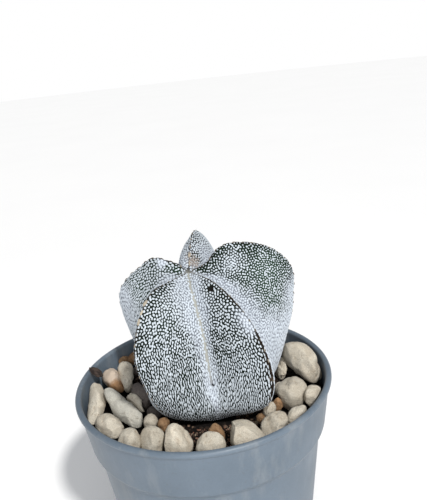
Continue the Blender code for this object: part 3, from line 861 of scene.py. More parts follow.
def makeStone(node, materials):
    kind, number = node.split("_")[1], int(node.split("_")[2])
    draw = random.Random(700 + number)
    stone = copyOfNode(node, "stone_" + node[7:])
    smoothen(stone, pebble["hiddenLevels"] if number >= pebble["firstHidden"] else pebble["levels"])
    points = pointsOf(stone)
    centre = points.mean(axis=0)
    offsets = points - centre
    flats = [(Vector(way).normalized(), depth) for way, depth in ownFlats.get(number, [])]
    while len(flats) < pebble["facets"]:
        way = Vector((draw.gauss(0, 1), draw.gauss(0, 1), draw.gauss(0, 0.7))).normalized()
        flats.append((way, draw.uniform(*pebble["facetDepth"])))
    for way, depth in flats:
        reach = offsets @ np.array(way)
        past = np.maximum(reach - depth * reach.max(), 0)
        offsets -= (past * pebble["facetCut"])[:, None] * np.array(way)[None, :]
    points = centre + offsets
    size = np.linalg.norm(offsets, axis=1).mean()
    outward = offsets / np.linalg.norm(offsets, axis=1)[:, None]
    lumps = cloud(points, size * 0.75, number) + 0.5 * cloud(points, size * 0.36, number + 50)
    pits = np.clip(cloud(points, 0.85 * mm, number + 90) - 0.30, 0, 0.3) / 0.3
    pits *= rise(-0.1, 0.25, cloud(points, 3 * mm, number + 20))
    cut = (np.minimum(lumps, 0.35) - 0.35) * pebble["lumps"] * size * 0.22 - pits * pebble["pits"] * mm
    cut += cloud(points, 0.5 * mm, number + 7) * 0.05 * mm
    points = points + outward * np.minimum(cut, 0)[:, None]
    if number in stoneOutlines:
        points = fitOutline(points, stoneOutlines[number])
    movePoints(stone, points)
    giveValues(stone, "hollow", np.clip(pits + rise(0.15, 0.6, -lumps) * 0.35, 0, 1))
    giveValues(stone, "tone", np.full(len(points), ownTonesAndPaintedLight.get(number, draw.uniform(0, 0.75))))
    settle(stone, "pebble_" + kind, materials["two" if number == 2 else kind], node)
    return stone


def makeStones():
    materials = {kind: stoneMaterial(kind) for kind in pebble["colours"]}
    materials["two"] = twoToneMaterial()
    return [makeStone(node, materials) for node in sorted(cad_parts) if node.startswith("pebble_")]


bed = makeSoil()
stones = makeStones()
print("soil and", len(stones), "pebbles are shaped")
crumbCount, gritCount = makeCrumbs(bed, stones)
print(crumbCount, "crumbs and", gritCount, "grains of grit are strewn")


# bark

bark = {
    "levels": 3,
    "fibres": 0.16,
    "dark": (0.016, 0.011, 0.010),
    "pale": (0.060, 0.042, 0.034),
    "turn": 164,
    "climb": 0.55,
    "outline": [(89.0, 368.0), (91.0, 366.3), (96.0, 367.8), (103.0, 375.0), (100.5, 378.0), (95.0, 376.5),
                (90.0, 371.5)],
}


def makeBark():
    chip = copyOfNode("bark_splinter", "bark_chip")
    smoothen(chip, bark["levels"])
    points = pointsOf(chip)
    # the fibres run lengthwise: the noise is read from a chip squeezed along them
    turn = math.radians(bark["turn"])
    run = Vector((math.cos(turn), math.sin(turn), bark["climb"])).normalized()
    along = points @ np.array(run)
    squeezed = points - np.array(run)[None, :] * (along * 0.88)[:, None]
    fibres = cloud(squeezed, 0.45 * mm, 3) + 0.5 * cloud(squeezed, 0.22 * mm, 4)
    inward = points.mean(axis=0) - points
    inward /= np.linalg.norm(inward, axis=1)[:, None]
    points += inward * (np.clip(0.4 + fibres, 0, 1) * bark["fibres"] * mm)[:, None]
    movePoints(chip, fitOutline(points, bark["outline"]))
    giveValues(chip, "ridge", np.clip(0.5 - fibres, 0, 1))
    settle(chip, "bark", barkMaterial(), "bark_splinter")


def barkMaterial():
    material, tree, shader, place = newMaterial("bark", 0.88, 0.3)
    mask, grain = unevenness(tree, place, 500.0, 3000.0, 0.5)
    share = rampOf(tree, valueNamed(tree, "ridge"), [(0.3, 0.0), (0.85, 1.0)])
    body = blendColours(tree, share, colour(*bark["dark"]), colour(*bark["pale"]))
    worn = shadeBy(tree, 0.6, body, mask, (0.3, 0.7), (0.7, 1.1))
    finishMaterial(tree, shader, worn, grain, 0.5, 0.0002)
    return material


makeBark()
print("bark is split")


# cactus: the lines that its ribs follow, in mm, with heights above the rim's plane

cactus = {
    "centre": 1.5,
    "crownHeight": 36.5,
    "crownShift": -2.0,
    "foot": (16.5, -7.6),
    "linePoints": 137,
    "stations": (0.08, 0.27, 0.46, 0.66, 0.86),
    "furrow": [(4, 34.6), (8, 31.5), (11.5, 26), (14, 18), (16.5, 10), (19, 4), (20.8, -1.5)],
    "levels": 2,
    "squareAngle": 60,
    "creaseAngle": 28,
    "crestCrease": 0.62,
    "furrowCrease": 0.45,
    "notchEvery": 3.3,
    "notchDepth": 0.26,
    "notchWidth": 0.9,
    "bulge": (0.5, 1.3),
    "skin": (0.004, 0.0065, 0.005),
    "skinGreen": (0.015, 0.037, 0.020),
    "skinPale": (0.24, 0.26, 0.30),
    "crestBrown": (0.013, 0.009, 0.006),
    "groove": (0.35, 0.35, 0.315),
    "cork": (0.022, 0.015, 0.011),
    "corkPale": (0.07, 0.05, 0.036),
    # hollow: near-black, painted shade in the pit, at the groove's end and under the body
    "hollow": (0.008, 0.007, 0.006),
    "wool": (0.58, 0.635, 0.70),
    "woolTip": (0.55, 0.605, 0.655),
    # woolShade: painted shade on the low rims of the flecks
    "woolShade": (0.40, 0.45, 0.50),
}

# each rib: the way it points, the furrow that follows it and its crest. Its two faces say, at five
# places from the crown to the foot, how many mm from the furrow the solid coat reaches and how wide
# the dark gaps are, then how solid that coat is and how green the skin. They are numbered from 0
ribs = [
    {"name": "a", "turn": -130, "furrow": (-93, -84.5),
     "crest": [(12, 37.2), (20, 37.2), (26.8, 32.4), (30.8, 25.3), (31.6, 18.5), (29.8, 12), (27, 4.6), (21.6, -4)],
     "faces": (((6, 6, 5, 3, 1), (0.09, 0.18, 0.32, 0.27, 0.23), 0.8, 0.2),
               ((7, 5.5, 3.2, 2.2, 0.2), (0.09, 0.18, 0.32, 0.28, 0.24), 0.8, 0.15))},
    {"name": "b", "turn": -55, "furrow": (-22, -22),
     "crest": [(9.1, 36.3), (17.5, 32.8), (24.5, 26.7), (30, 18.5), (32.5, 9), (29.3, 0.4), (22.5, -5)],
     "faces": (((2.6, 3.4, 2.4, 1.8, 0.2), (0.21, 0.23, 0.27, 0.24, 0.15), 0.8, 0.1),
               ((40, 40, 40, 40, 40), (0.10, 0.10, 0.10, 0.10, 0.10), 1.0, 0.0))},
    {"name": "c", "turn": 11, "furrow": (46, 46),
     "crest": [(6, 38.5), (8.6, 41.9), (12.4, 43.6), (19, 42.9), (26.7, 39.2), (32.6, 32), (32.8, 22), (30.2, 10.6),
               (23.5, -3.5)],
     "faces": (((1.5, 5, 8, 12, 14), (0.35, 0.31, 0.32, 0.23, 0.16), 1.0, 0.3),
               ((7, 9, 12, 12, 8), (0.16, 0.16, 0.16, 0.15, 0.15), 1.0, 0.3))},
    {"name": "d", "turn": 82, "furrow": (119, 119),
     "crest": [(3.2, 38), (7, 41.6), (14, 44.8), (21, 43.8), (27, 39.4), (31.3, 30), (31.3, 19), (28.5, 8), (22.5, -4)],
     "faces": (((9, 13, 17, 15, 9), (0.18, 0.16, 0.16, 0.16, 0.16), 1.0, 0.0),
               ((9, 13, 17, 15, 9), (0.18, 0.16, 0.16, 0.16, 0.16), 1.0, 0.0))},
    {"name": "e", "turn": 157, "furrow": (193, 193),
     "crest": [(1.4, 37.7), (3.6, 39.4), (7, 40.3), (11.3, 41.3), (15, 40.2), (18.8, 37.5), (23.2, 34.6), (27.9, 29),
               (28.2, 22.5), (25.4, 12), (20.6, -3.5)],
     "faces": (((6, 8, 9, 8, 4), (0.20, 0.15, 0.12, 0.13, 0.13), 1.0, 0.3),
               ((3, 4, 5, 6, 4), (0.20, 0.15, 0.12, 0.13, 0.12), 1.0, 0.4))},
]

# places that differ: where, how wide, and what they add to the gaps, the solid coat and the green
spots = [
    ((5.8, -15.0, 23.0), 5.5, 0.10, -0.3, 0.0),
    ((6.4, -17.2, 16.0), 4.0, 0.15, -0.5, 0.1),
    ((13.5, -0.3, 38.1), 4.0, -0.24, 0.15, -0.3),
    ((24.8, 0.6, 33.5), 4.2, 0.0, 0.0, 0.6),
    ((-22.5, 7.3, 26.8), 3.5, 0.0, 0.5, 0.0),
    ((11.0, -9.0, 31.5), 4.5, 0.06, -0.3, 0.0),
    ((-8.5, -19.0, 28.0), 4.5, 0.05, -0.2, 0.2),
    ((24.0, 0.0, 31.0), 9.0, 0.02, -0.3, 0.4),
    ((26.2, -0.2, 22.0), 6.5, 0.02, -0.4, 0.5),
    ((20.0, 2.8, 41.6), 4.0, 0.14, -1.0, 0.0),
    ((18.5, 3.1, 42.7), 2.0, 0.20, -1.0, 0.0),
    ((9.5, 1.5, 42.0), 2.4, 0.28, -1.5, 0.0),
    ((6.4, 1.2, 39.6), 1.8, 0.28, -1.5, 0.0),
    ((-11.7, -15.2, 37.2), 2.2, 0.25, -1.5, 0.0),
    ((-8.8, -12.0, 37.4), 2.2, 0.25, -1.5, 0.0),
    ((-6.0, -8.6, 37.3), 1.8, 0.22, -1.3, 0.0),
    ((-3.6, 0.5, 37.6), 1.8, 0.24, -2.2, 0.3),
    ((-6.2, 1.4, 38.4), 1.7, 0.24, -2.2, 0.3),
    ((-12.6, 4.3, 40.0), 1.9, 0.26, -2.2, 0.0),
    ((14.9, -19.5, 27.6), 2.6, -0.10, 1.4, 0.0),
    ((16.0, -21.2, 24.8), 2.0, -0.05, 1.1, 0.0),
    ((3.3, 0.5, 37.4), 2.1, 0.30, -1.5, 0.0),
    ((2.3, 5.6, 38.4), 2.0, 0.30, -1.8, 0.0),
    ((9.5, -12.8, 32.6), 2.4, 0.12, -0.6, 0.0),
    ((32.6, 4.0, 24.0), 4.6, 0.0, 0.9, -0.5),
    ((31.5, 4.5, 13.1), 7.0, 0.0, 1.0, -0.5),
    ((23.0, -3.2, 8.9), 6.0, 0.0, 0.8, -0.6),
    ((-7.9, 3.1, 40.4), 2.4, -0.05, 1.2, -0.4),
    ((-8.1, 3.0, 39.6), 1.2, 0.0, 1.5, -0.4),
    ((2.6, 12.0, 42.5), 3.0, 0.05, -0.7, 0.0),
    ((2.2, 8.0, 40.0), 2.2, 0.05, -0.6, 0.0),
    ((-18.8, 4.7, 30.9), 4.5, 0.02, -0.4, 0.5),
    ((-23.5, 8.0, 27.5), 4.2, 0.0, 1.0, -0.3),
    ((-23.5, 8.0, 19.5), 6.0, 0.0, 1.0, -0.3),
    ((-12.6, -16.5, 35.5), 3.6, 0.03, -0.2, 0.0),
    ((-4.5, -20.5, 9.0), 4.0, 0.05, -0.5, 0.1),
    ((1.5, -19.6, 4.5), 2.6, 0.0, 0.5, 0.0),
]

# stretches of crest where the bare brown line is broad: where, how long and how much broader
crestWear = [
    ((13.0, -14.5, 31.5), 4.5, 0.80),
    ((17.6, -23.0, 21.5), 3.5, 1.10),
    ((19.4, -25.8, 14.0), 4.0, 1.90),
    ((20.0, -26.5, 5.5), 3.0, 1.50),
    ((20.0, 2.8, 41.6), 5.0, 0.30),
    ((8.5, 1.5, 40.0), 3.0, 0.25),
    ((-11.7, 4.1, 39.9), 3.5, 0.35),
    ((-3.3, 1.2, 39.0), 2.5, 0.30),
    ((-13.0, -17.5, 36.0), 4.0, 0.15),
    ((-19.5, -24.5, 22.0), 9.0, 0.20),
]

# the pit, the notch, the scar and the end of the groove, where no fleck grows: where, how wide and
# how deep each is, what is painted there and between which shares of its width that fades. The pit and
# the groove's end are painted near-black: painted shade in their hollows
bareSpots = [
    ((5.6, -10.4, 34.0), 1.35, 0.55, "dark", (0.5, 1.0)),
    ((14.6, -19.1, 28.0), 0.8, 0.45, "coat", (0.8, 1.3)),
    ((19.4, -26.6, 10.4), 1.0, 0.30, "cork", (0.6, 1.1)),
    ((2.7, -18.4, 6.1), 0.6, 0.30, "dark", (0.5, 1.0)),
]


def awayFrom(points, where):
    return np.linalg.norm(points - np.array(where) - rimPlane, axis=1)


def nearness(points, where, size):
    # 1 at the place, and little beyond this size
    return np.exp(-((points - (np.array(where) + rimPlane)) ** 2).sum(1) / size ** 2)


def offBareSpots(points):
    return np.all([awayFrom(points, where) > width * 0.9 for where, width, _, _, _ in bareSpots], axis=0)


def runAlong(line):
    # how far each of the line's points is from its start
    return np.concatenate([[0], np.cumsum(np.linalg.norm(np.diff(line, axis=0), axis=1))])


def placeAt(line, run, where):
    return np.stack([np.interp(where, run, line[:, k]) for k in range(line.shape[1])], axis=-1)


def lineThrough(shape):
    # an even line through the shape's points, from the crown to the foot
    points = [Vector((0.0, cactus["crownHeight"]))] + [Vector(p) for p in shape] + [Vector(cactus["foot"])]
    points = [2 * points[0] - points[1]] + points + [2 * points[-1] - points[-2]]
    fine = []
    for a, b, c, d in zip(points, points[1:], points[2:], points[3:]):
        for part in range(20):
            t = part / 20
            fine.append(0.5 * (2 * b + (c - a) * t + (2 * a - 5 * b + 4 * c - d) * t * t
                               + (3 * b - a - 3 * c + d) * t ** 3))
    fine.append(points[-2])
    fine = np.array(fine)
    run = runAlong(fine)
    return placeAt(fine, run, np.linspace(0, run[-1], cactus["linePoints"]))


def centreAt(share):
    return cactus["centre"] + cactus["crownShift"] * (1 - rise(0, 0.45, share))


def bodyLine(shape, startTurn, endTurn):
    line = lineThrough(shape)
    share = np.linspace(0, 1, len(line))
    turn = np.radians(startTurn + (endTurn - startTurn) * share)
    return np.stack([centreAt(share) + line[:, 0] * np.cos(turn), line[:, 0] * np.sin(turn),
                     line[:, 1] + rimHeight / mm], axis=1)


crestLines = [bodyLine(rib["crest"], rib["turn"], rib["turn"]) for rib in ribs]
furrowLines = [bodyLine(cactus["furrow"], *rib["furrow"]) for rib in ribs]


def nearestOn(line, points):
    # how far each point is from the line, and which of the line's points is nearest
    away = np.empty(len(points))
    which = np.empty(len(points), int)
    for start in range(0, len(points), 8000):
        part = points[start:start + 8000]
        gap = (part ** 2).sum(1)[:, None] + (line ** 2).sum(1)[None, :] - 2 * part @ line.T
        which[start:start + 8000] = gap.argmin(1)
        away[start:start + 8000] = np.sqrt(np.maximum(gap.min(1), 0))
    return away, which


def readBody(points):
    # for points in mm: rib, side, distance to crest and furrow, place across and along, way along
    (crestAway, crestStep), (furrowAway, furrowStep) = (
        (np.stack(part) for part in zip(*(nearestOn(line, points) for line in lines)))
        for lines in (crestLines, furrowLines))
    every = np.arange(len(points))
    steps = cactus["linePoints"] - 1
    share = crestStep[crestAway.argmin(0), every] / steps
    turn = np.degrees(np.arctan2(points[:, 1], points[:, 0] - centreAt(share)))
    rib = np.zeros(len(points), int)
    for number, own in enumerate(ribs):
        low = ribs[number - 1]["furrow"]
        start = low[0] + (low[1] - low[0]) * share - (360 if number == 0 else 0)
        end = own["furrow"][0] + (own["furrow"][1] - own["furrow"][0]) * share
        rib[np.mod(turn - start, 360) < np.mod(end - start, 360)] = number
    lead = np.array([own["turn"] for own in ribs])[rib]
    side = (np.mod(turn - lead + 180, 360) - 180 > 0).astype(int)
    furrow = np.where(side == 1, rib, (rib - 1) % len(ribs))
    away, edge = crestAway[rib, every], furrowAway[furrow, every]
    across = edge / np.maximum(edge + away, 1e-6)
    near, far = crestStep[rib, every], furrowStep[furrow, every]
    along = (across * near + (1 - across) * far) / steps
    crestWay = np.gradient(np.stack(crestLines), axis=1)[rib, near]
    furrowWay = np.gradient(np.stack(furrowLines), axis=1)[furrow, far]
    way = crestWay * across[:, None] + furrowWay * (1 - across)[:, None]
    way /= np.linalg.norm(way, axis=1)[:, None]
    return {"rib": rib, "side": side, "away": away, "edge": edge, "across": across, "along": along, "way": way,
            "crestStep": near}


def skinTone(points, body):
    # how solid the coat is, how wide the dark gaps are and how green the skin is
    width, gap, solid, green = np.zeros((4, len(points)))
    for number, own in enumerate(ribs):
        for side, (widths, gaps, most, leaf) in enumerate(own["faces"]):
            here = (body["rib"] == number) & (body["side"] == side)
            width[here] = np.interp(body["along"][here], cactus["stations"], widths)
            gap[here] = np.interp(body["along"][here], cactus["stations"], gaps)
            solid[here], green[here] = most, leaf
    wander = 1 + 0.35 * cloud(points, 4.0, 71)
    coat = solid * (1 - rise(0.55 * width, 1.5 * width + 0.8, body["edge"] * wander))
    for where, size, moreGap, moreCoat, moreGreen in spots:
        near = nearness(points, where, size)
        coat += moreCoat * near
        gap += moreGap * near
        green += moreGreen * near
    coat = np.clip(coat, 0, 1)
    gap += 0.07 * rise(0.74, 0.95, body["across"]) + 0.05 * cloud(points, 3.0, 72)
    gap = gap * (1 - coat) + flecks["coatGap"] * coat
    return coat, np.clip(gap, 0.07, 0.62), np.clip(green, 0, 1) * (1 - coat)


def wearOf(points):
    # how much broader the bare brown line of the crest is
    worn = np.zeros(len(points))
    for where, length, broader in crestWear:
        worn += broader * nearness(points, where, length)
    return worn


def keepForm(piece, node):
    # smoothing draws a rib in a little, so the piece is let out again to its node, evenly
    tree = treeOf(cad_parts[node])
    points, normals = pointsOf(piece), normalsOf(piece)
    spots = [Vector(p) for p in points]
    out = np.array([(tree.find_nearest(p)[0] - p).dot(Vector(n)) for p, n in zip(spots, normals)])
    ends = np.array([line.vertices for line in piece.data.edges])
    for _ in range(6):
        total, links = out.copy(), np.ones(len(out))
        for a, b in ((0, 1), (1, 0)):
            np.add.at(total, ends[:, a], out[ends[:, b]])
            np.add.at(links, ends[:, a], 1)
        out = total / links
    movePoints(piece, points + normals * out[:, None])


def makeSkin():
    skin = copyOfNode("cactus_body", "cactus_skin")
    editAll(skin)
    square = math.radians(cactus["squareAngle"])
    bpy.ops.mesh.tris_convert_to_quads(face_threshold=square, shape_threshold=square)
    edit = bmesh.from_edit_mesh(skin.data)
    crease = edit.edges.layers.float.new("crease_edge")
    for line in edit.edges:
        bend = line.calc_face_angle_signed(0)
        if abs(bend) > math.radians(cactus["creaseAngle"]):
            line[crease] = cactus["crestCrease"] if bend > 0 else cactus["furrowCrease"]
    bmesh.update_edit_mesh(skin.data)
    endEdit()
    smoothen(skin, cactus["levels"])
    keepForm(skin, "cactus_body")
    # more faces where the bare spots are to be pressed in
    editAll(skin)
    bpy.ops.mesh.select_all(action="DESELECT")
    edit = bmesh.from_edit_mesh(skin.data)
    for face in edit.faces:
        middle = face.calc_center_median() / mm - Vector((0, 0, rimHeight / mm))
        face.select = any((middle - Vector(spot[0])).length < spot[1] * 1.5 for spot in bareSpots)
    bmesh.update_edit_mesh(skin.data)
    bpy.ops.mesh.subdivide(number_cuts=2)
    bpy.ops.mesh.select_all(action="SELECT")
    bpy.ops.mesh.normals_make_consistent(inside=False)
    endEdit()

    points, normals = pointsOf(skin) / mm, normalsOf(skin)
    body = readBody(points)
    rib, side, away, edge, across, along = (body[name] for name in ("rib", "side", "away", "edge", "across", "along"))
    coat, gap, green = skinTone(points, body)
    # notches along the crests, fine unevenness above the soil, and a far rib that bulges
    crestRun = np.cumsum(np.linalg.norm(np.diff(np.stack(crestLines), axis=1), axis=2), axis=1)
    run = crestRun[rib, np.minimum(body["crestStep"], cactus["linePoints"] - 2)]
    beat = 0.5 + 0.5 * np.cos(math.tau * run / cactus["notchEvery"] + 1.7 * rib)
    notch = beat ** 3 * np.exp(-(away / cactus["notchWidth"]) ** 2)
    rough = cloud(points, 1.6, 60) * 0.06 + cloud(points, 6.0, 61) * 0.12
    press = notch * cactus["notchDepth"] - rough * rise(-8, 0, points[:, 2] - rimHeight / mm)
    fuller = (rib == 3) * rise(0.05, 0.45, across) * (1 - rise(0.55, 0.95, across))
    press -= fuller * np.array(cactus["bulge"])[side] * (1 - rise(0.35, 0.6, along))
    painted = {"dark": np.zeros(len(points)), "cork": np.zeros(len(points)), "coat": coat}
    for where, width, depth, name, (start, end) in bareSpots:
        gone = awayFrom(points, where)
        press += (1 - rise(0.35 * width, width, gone)) * depth
        painted[name] = np.maximum(painted[name], 1 - rise(start * width, end * width, gone))
    points -= normals * press[:, None]
    movePoints(skin, points * mm)

    above = points[:, 2] - rimHeight / mm
    coat, worn = painted["coat"], wearOf(points)
    line = np.exp(-(away / (0.5 + 0.7 * worn)) ** 2)
    onFront = (rib == 0) & (side == 1) | (rib == 1) & (side == 0)
    painted["green"] = green
    painted["crest"] = line * (1 - 0.8 * coat * (along > 0.25) * (1 - np.clip(worn, 0, 1)))
    painted["groove"] = np.exp(-(edge / 0.9) ** 2) * np.where(onFront, 1.0, 0.4) * rise(4, 12, above)
    # from 2.5 mm below the rim's plane downwards the skin darkens towards near-black: painted shade under the
    # overhanging body
    painted["dark"] = np.maximum(painted["dark"], 0.75 * (1 - rise(-5.5, -2.5, above)))
    for name, values in painted.items():
        giveValues(skin, name, values)
    settle(skin, "cactus_skin", skinMaterial(), "cactus_body")
    return skin, body, gap, coat


def skinMaterial():
    material, tree, shader, place = newMaterial("cactus_skin", 0.85, 0.12)
    mask, grain = unevenness(tree, place, 500.0, 4200.0, 0.5)
    fresh = blendColours(tree, valueNamed(tree, "green"), colour(*cactus["skin"]), colour(*cactus["skinGreen"]))
    shown = shadeBy(tree, 0.7, fresh, mask, (0.3, 0.65), (0.7, 1.25))
    corky = blendColours(tree, mask, colour(*cactus["cork"]), colour(*cactus["corkPale"]))
    # the dark layer lays near-black painted shade in the pit, at the groove's end and under the body
    layers = {"coat": colour(*cactus["skinPale"]), "crest": colour(*cactus["crestBrown"]),
              "groove": colour(*cactus["groove"]), "cork": corky, "dark": colour(*cactus["hollow"])}
    for name, over in layers.items():
        shown = blendColours(tree, valueNamed(tree, name), shown, over)
    finishMaterial(tree, shader, shown, grain, 0.35, 0.0001)
    return material


# flecks: the low domes of white wool all over the skin

flecks = {
    "lowest": -7.8,
    "sides": 12,
    "spacing": (0.93, 0.83, 0.95),
    "stretch": (1.0, 1.3, 2.8),
    "crestRow": 1.14,
    "crestGap": 0.42,
    "coatGap": 0.12,
    "grooveRoom": 0.64,
    "softness": 7.0,
    "widest": 0.60,
    "rise": 0.15,
    "samples": 210000,
    "cell": 1.3,
    "apart": 0.80,
    "rounds": 6,
    "pushers": 10,
    "pushReach": 1.12,
    "push": 0.35,
    "neighbours": 14,
    "rowFromCrest": 0.62,
    "rowWorn": 0.3,
    "ring": 0.60,
    "ringRise": 0.80,
    "weldRise": 0.45,
    "sunk": 0.035,
}

# what the skin keeps for each of its points, in this order
columns = {name: number for number, name in enumerate(
    ("away", "edge", "across", "along", "gap", "coat", "spacing", "stretch", "low"))}


class Ground:
    # the skin as something to lay flecks on: nearest point, normal and the values painted on it
    def __init__(self, skin, body, gap, coat):
        keepOnly(skin)
        self.points, self.normals = pointsOf(skin) / mm, normalsOf(skin)
        corners = []
        for face in skin.data.polygons:
            ring = face.vertices
            corners += [(ring[0], ring[k], ring[k + 1]) for k in range(1, len(ring) - 1)]
        self.corners = np.array(corners)
        self.tree = BVHTree.FromPolygons([Vector(p) for p in self.points], [tuple(c) for c in corners])
        low = self.points[:, 2] - rimHeight / mm
        along = body["along"]
        top, middle, bottom = flecks["spacing"]
        soon = np.where(body["rib"] == 4, 0.6 * rise(0.15, 0.4, along), 0)
        lower = np.maximum(rise(0.48, 0.8, along), soon)
        spacing = middle + (top - middle) * (1 - rise(0.22, 0.5, along)) + (bottom - middle) * lower
        spacing *= (1 - 0.06 * coat) * (1 - 0.10 * (body["rib"] == 2) * (1 - rise(0.5, 0.7, along)))
        small, wide, tall = flecks["stretch"]
        soon = np.where(body["rib"] == 4, 0.75 * rise(0.15, 0.4, along), 0)
        stretch = small + (wide - small) * rise(0.2, 0.5, along)
        stretch += (tall - wide) * np.maximum(rise(0.48, 0.8, along), soon)
        # larger flecks line the worn stretches of the crests
        spacing *= 1 + 0.28 * np.clip(wearOf(self.points), 0, 1) * (1 - rise(1.6, 2.6, body["away"]))
        kept = body["away"], body["edge"], body["across"], along, gap, coat, spacing, stretch, low
        self.values = np.stack(kept, axis=1)
        # near the foot the flecks of the two front ribs hang straight down
        down = np.array([0.0, 0.0, -1.0]) - self.normals * -self.normals[:, 2:]
        share = (0.85 * rise(0.45, 0.7, along) * (body["rib"] < 2))[:, None]
        down *= np.sign((down * body["way"]).sum(axis=1) + 1e-9)[:, None]
        way = body["way"] * (1 - share) + down * share
        self.way = way / np.maximum(np.linalg.norm(way, axis=1), 1e-6)[:, None]
        self.rib = body["rib"]

    def press(self, points):
        # every point moved to the skin, with the face under it
        found = [self.tree.find_nearest(Vector(p)) for p in points]
        return np.array([f[0] for f in found]), np.array([f[2] for f in found])

    def read(self, points, faces):
        corners = self.corners[faces]
        a, b, c = (self.points[corners[:, k]] for k in range(3))
        first, second, inner = b - a, c - a, points - a
        aa, ab, bb = (first * first).sum(1), (first * second).sum(1), (second * second).sum(1)
        pa, pb = (inner * first).sum(1), (inner * second).sum(1)
        scale = np.maximum(aa * bb - ab * ab, 1e-12)
        v, w = (bb * pa - ab * pb) / scale, (aa * pb - ab * pa) / scale
        shares = np.clip(np.stack([1 - v - w, v, w], axis=1), 0, 1)
        shares /= shares.sum(1)[:, None]
        mixed = [(table[corners] * shares[:, :, None]).sum(1) for table in (self.values, self.way, self.normals)]
        rib = self.rib[corners[:, 0]]
        normal = mixed[2] / np.linalg.norm(mixed[2], axis=1)[:, None]
        way = mixed[1] - normal * (mixed[1] * normal).sum(1)[:, None]
        way /= np.maximum(np.linalg.norm(way, axis=1), 1e-6)[:, None]
        return mixed[0], way, normal, rib


def scatter(ground):
    # candidates spread evenly over the skin, thinned until none stands too near another
    draw = np.random.RandomState(5)
    a, b, c = (ground.points[ground.corners[:, k]] for k in range(3))
    area = np.linalg.norm(np.cross(b - a, c - a), axis=1) / 2
    area[(a + b + c)[:, 2] / 3 < rimHeight / mm + flecks["lowest"]] = 0
    faces = draw.choice(len(area), flecks["samples"], p=area / area.sum())
    s, t = np.sqrt(draw.rand(flecks["samples"])), draw.rand(flecks["samples"])
    spread = (1 - s)[:, None] * a[faces] + (s * (1 - t))[:, None] * b[faces] + (s * t)[:, None] * c[faces]
    found = ground.read(spread, faces)
    away, edge, spacing, low = (found[0][:, columns[name]] for name in ("away", "edge", "spacing", "low"))
    grooveRoom = flecks["grooveRoom"] * np.clip((low - 3.0) / 4.0, 0.25, 1.0)
    keep = (away > 0.42 * spacing) & (edge > grooveRoom) & offBareSpots(spread)

    # a row of larger flecks goes first, along both sides of every crest
    seeds, seedFaces = ground.press(crestSeeds(draw))
    seeded = ground.read(seeds, seedFaces)
    away, low = (seeded[0][:, columns[name]] for name in ("away", "low"))
    seedKeep = (low > flecks["lowest"]) & (away > 0.3) & offBareSpots(seeds)
    spread, values, way, normal = (np.concatenate([first[seedKeep], then[keep]]) for first, then in zip(
        (seeds, *seeded[:3]), (spread, *found[:3])))
    return spread[thinOut(spread, values, way, normal)]


def crestSeeds(draw):
    seeds = []
    for own, line in zip(ribs, crestLines):
        run = runAlong(line)
        turn = math.radians(own["turn"])
        lateral = np.array(Vector((-math.sin(turn), math.cos(turn), 0)))
        for sign in (-1, 1):
            where = 1.2
            while where < run[-1] - 1.0:
                spot = placeAt(line, run, where)
                worn = float(wearOf(spot[None, :])[0])
                seeds.append(spot + lateral * sign * (flecks["rowFromCrest"] + flecks["rowWorn"] * worn))
                where += flecks["crestRow"] * (0.88 + 0.24 * draw.rand()) * (1 + 0.15 * min(worn, 1))
    return np.array(seeds)


def thinOut(spread, values, way, normal):
    # takes the candidates in turn and leaves out each that is too near one taken before it
    boxes, taken = {}, []
    keys = np.floor(spread / flecks["cell"]).astype(int)
    apart, stretch = values[:, columns["spacing"]] * flecks["apart"], values[:, columns["stretch"]]
    points, ways, normals = spread.tolist(), way.tolist(), normal.tolist()
    around = [(i, j, k) for i in (-1, 0, 1) for j in (-1, 0, 1) for k in (-1, 0, 1)]
    for number in range(len(points)):
        x, y, z = points[number]
        wx, wy, wz = ways[number]
        nx, ny, nz = normals[number]
        kx, ky, kz = keys[number]
        least = apart[number] ** 2
        free = True
        for i, j, k in around:
            for ox, oy, oz, mx, my, mz in boxes.get((kx + i, ky + j, kz + k), ()):
                if nx * mx + ny * my + nz * mz < -0.2:
                    continue
                dx, dy, dz = x - ox, y - oy, z - oz
                lengthwise = dx * wx + dy * wy + dz * wz
                # lengthwise room counts for less where flecks are long
                gap = dx * dx + dy * dy + dz * dz - lengthwise * lengthwise * (1 - 1 / stretch[number] ** 2)
                if gap * stretch[number] < least:
                    free = False
                    break
            if not free:
                break
        if free:
            taken.append(number)
            boxes.setdefault((kx, ky, kz), []).append((x, y, z, nx, ny, nz))
    return taken


def neighboursOf(points, count):
    tree = KDTree(len(points))
    for number, point in enumerate(points):
        tree.insert(Vector(point), number)
    tree.balance()
    table = np.array([[hit[1] for hit in tree.find_n(Vector(p), count + 1)] for p in points])
    return table[:, 1:]


def relax(ground, points):
    # neighbours push each other apart until they stand evenly
    for _ in range(flecks["rounds"]):
        points, faces = ground.press(points)
        values, way, normal, _ = ground.read(points, faces)
        crestAway, spacing, stretch = (values[:, columns[name]] for name in ("away", "spacing", "stretch"))
        near = neighboursOf(points, flecks["pushers"])
        step = points[:, None, :] - points[near]
        lengthwise = (step * way[:, None, :]).sum(2)[:, :, None] * way[:, None, :]
        pull = np.sqrt(stretch)[:, None, None]
        squeezed = (step - lengthwise) * pull + lengthwise / pull
        away = np.maximum(np.linalg.norm(squeezed, axis=2), 1e-6)
        facing = (normal[:, None, :] * normal[near]).sum(2) > 0.3
        push = np.maximum(1 - away / (spacing[:, None] * flecks["pushReach"]), 0) * facing
        move = (squeezed / away[:, :, None] * push[:, :, None]).sum(1)
        along = (move * way).sum(1)[:, None] * way
        move = (move - along) / pull[:, 0] + along * pull[:, 0]
        points = points + move * spacing[:, None] * flecks["push"] * rise(0.45, 0.9, crestAway)[:, None]
    return ground.press(points)


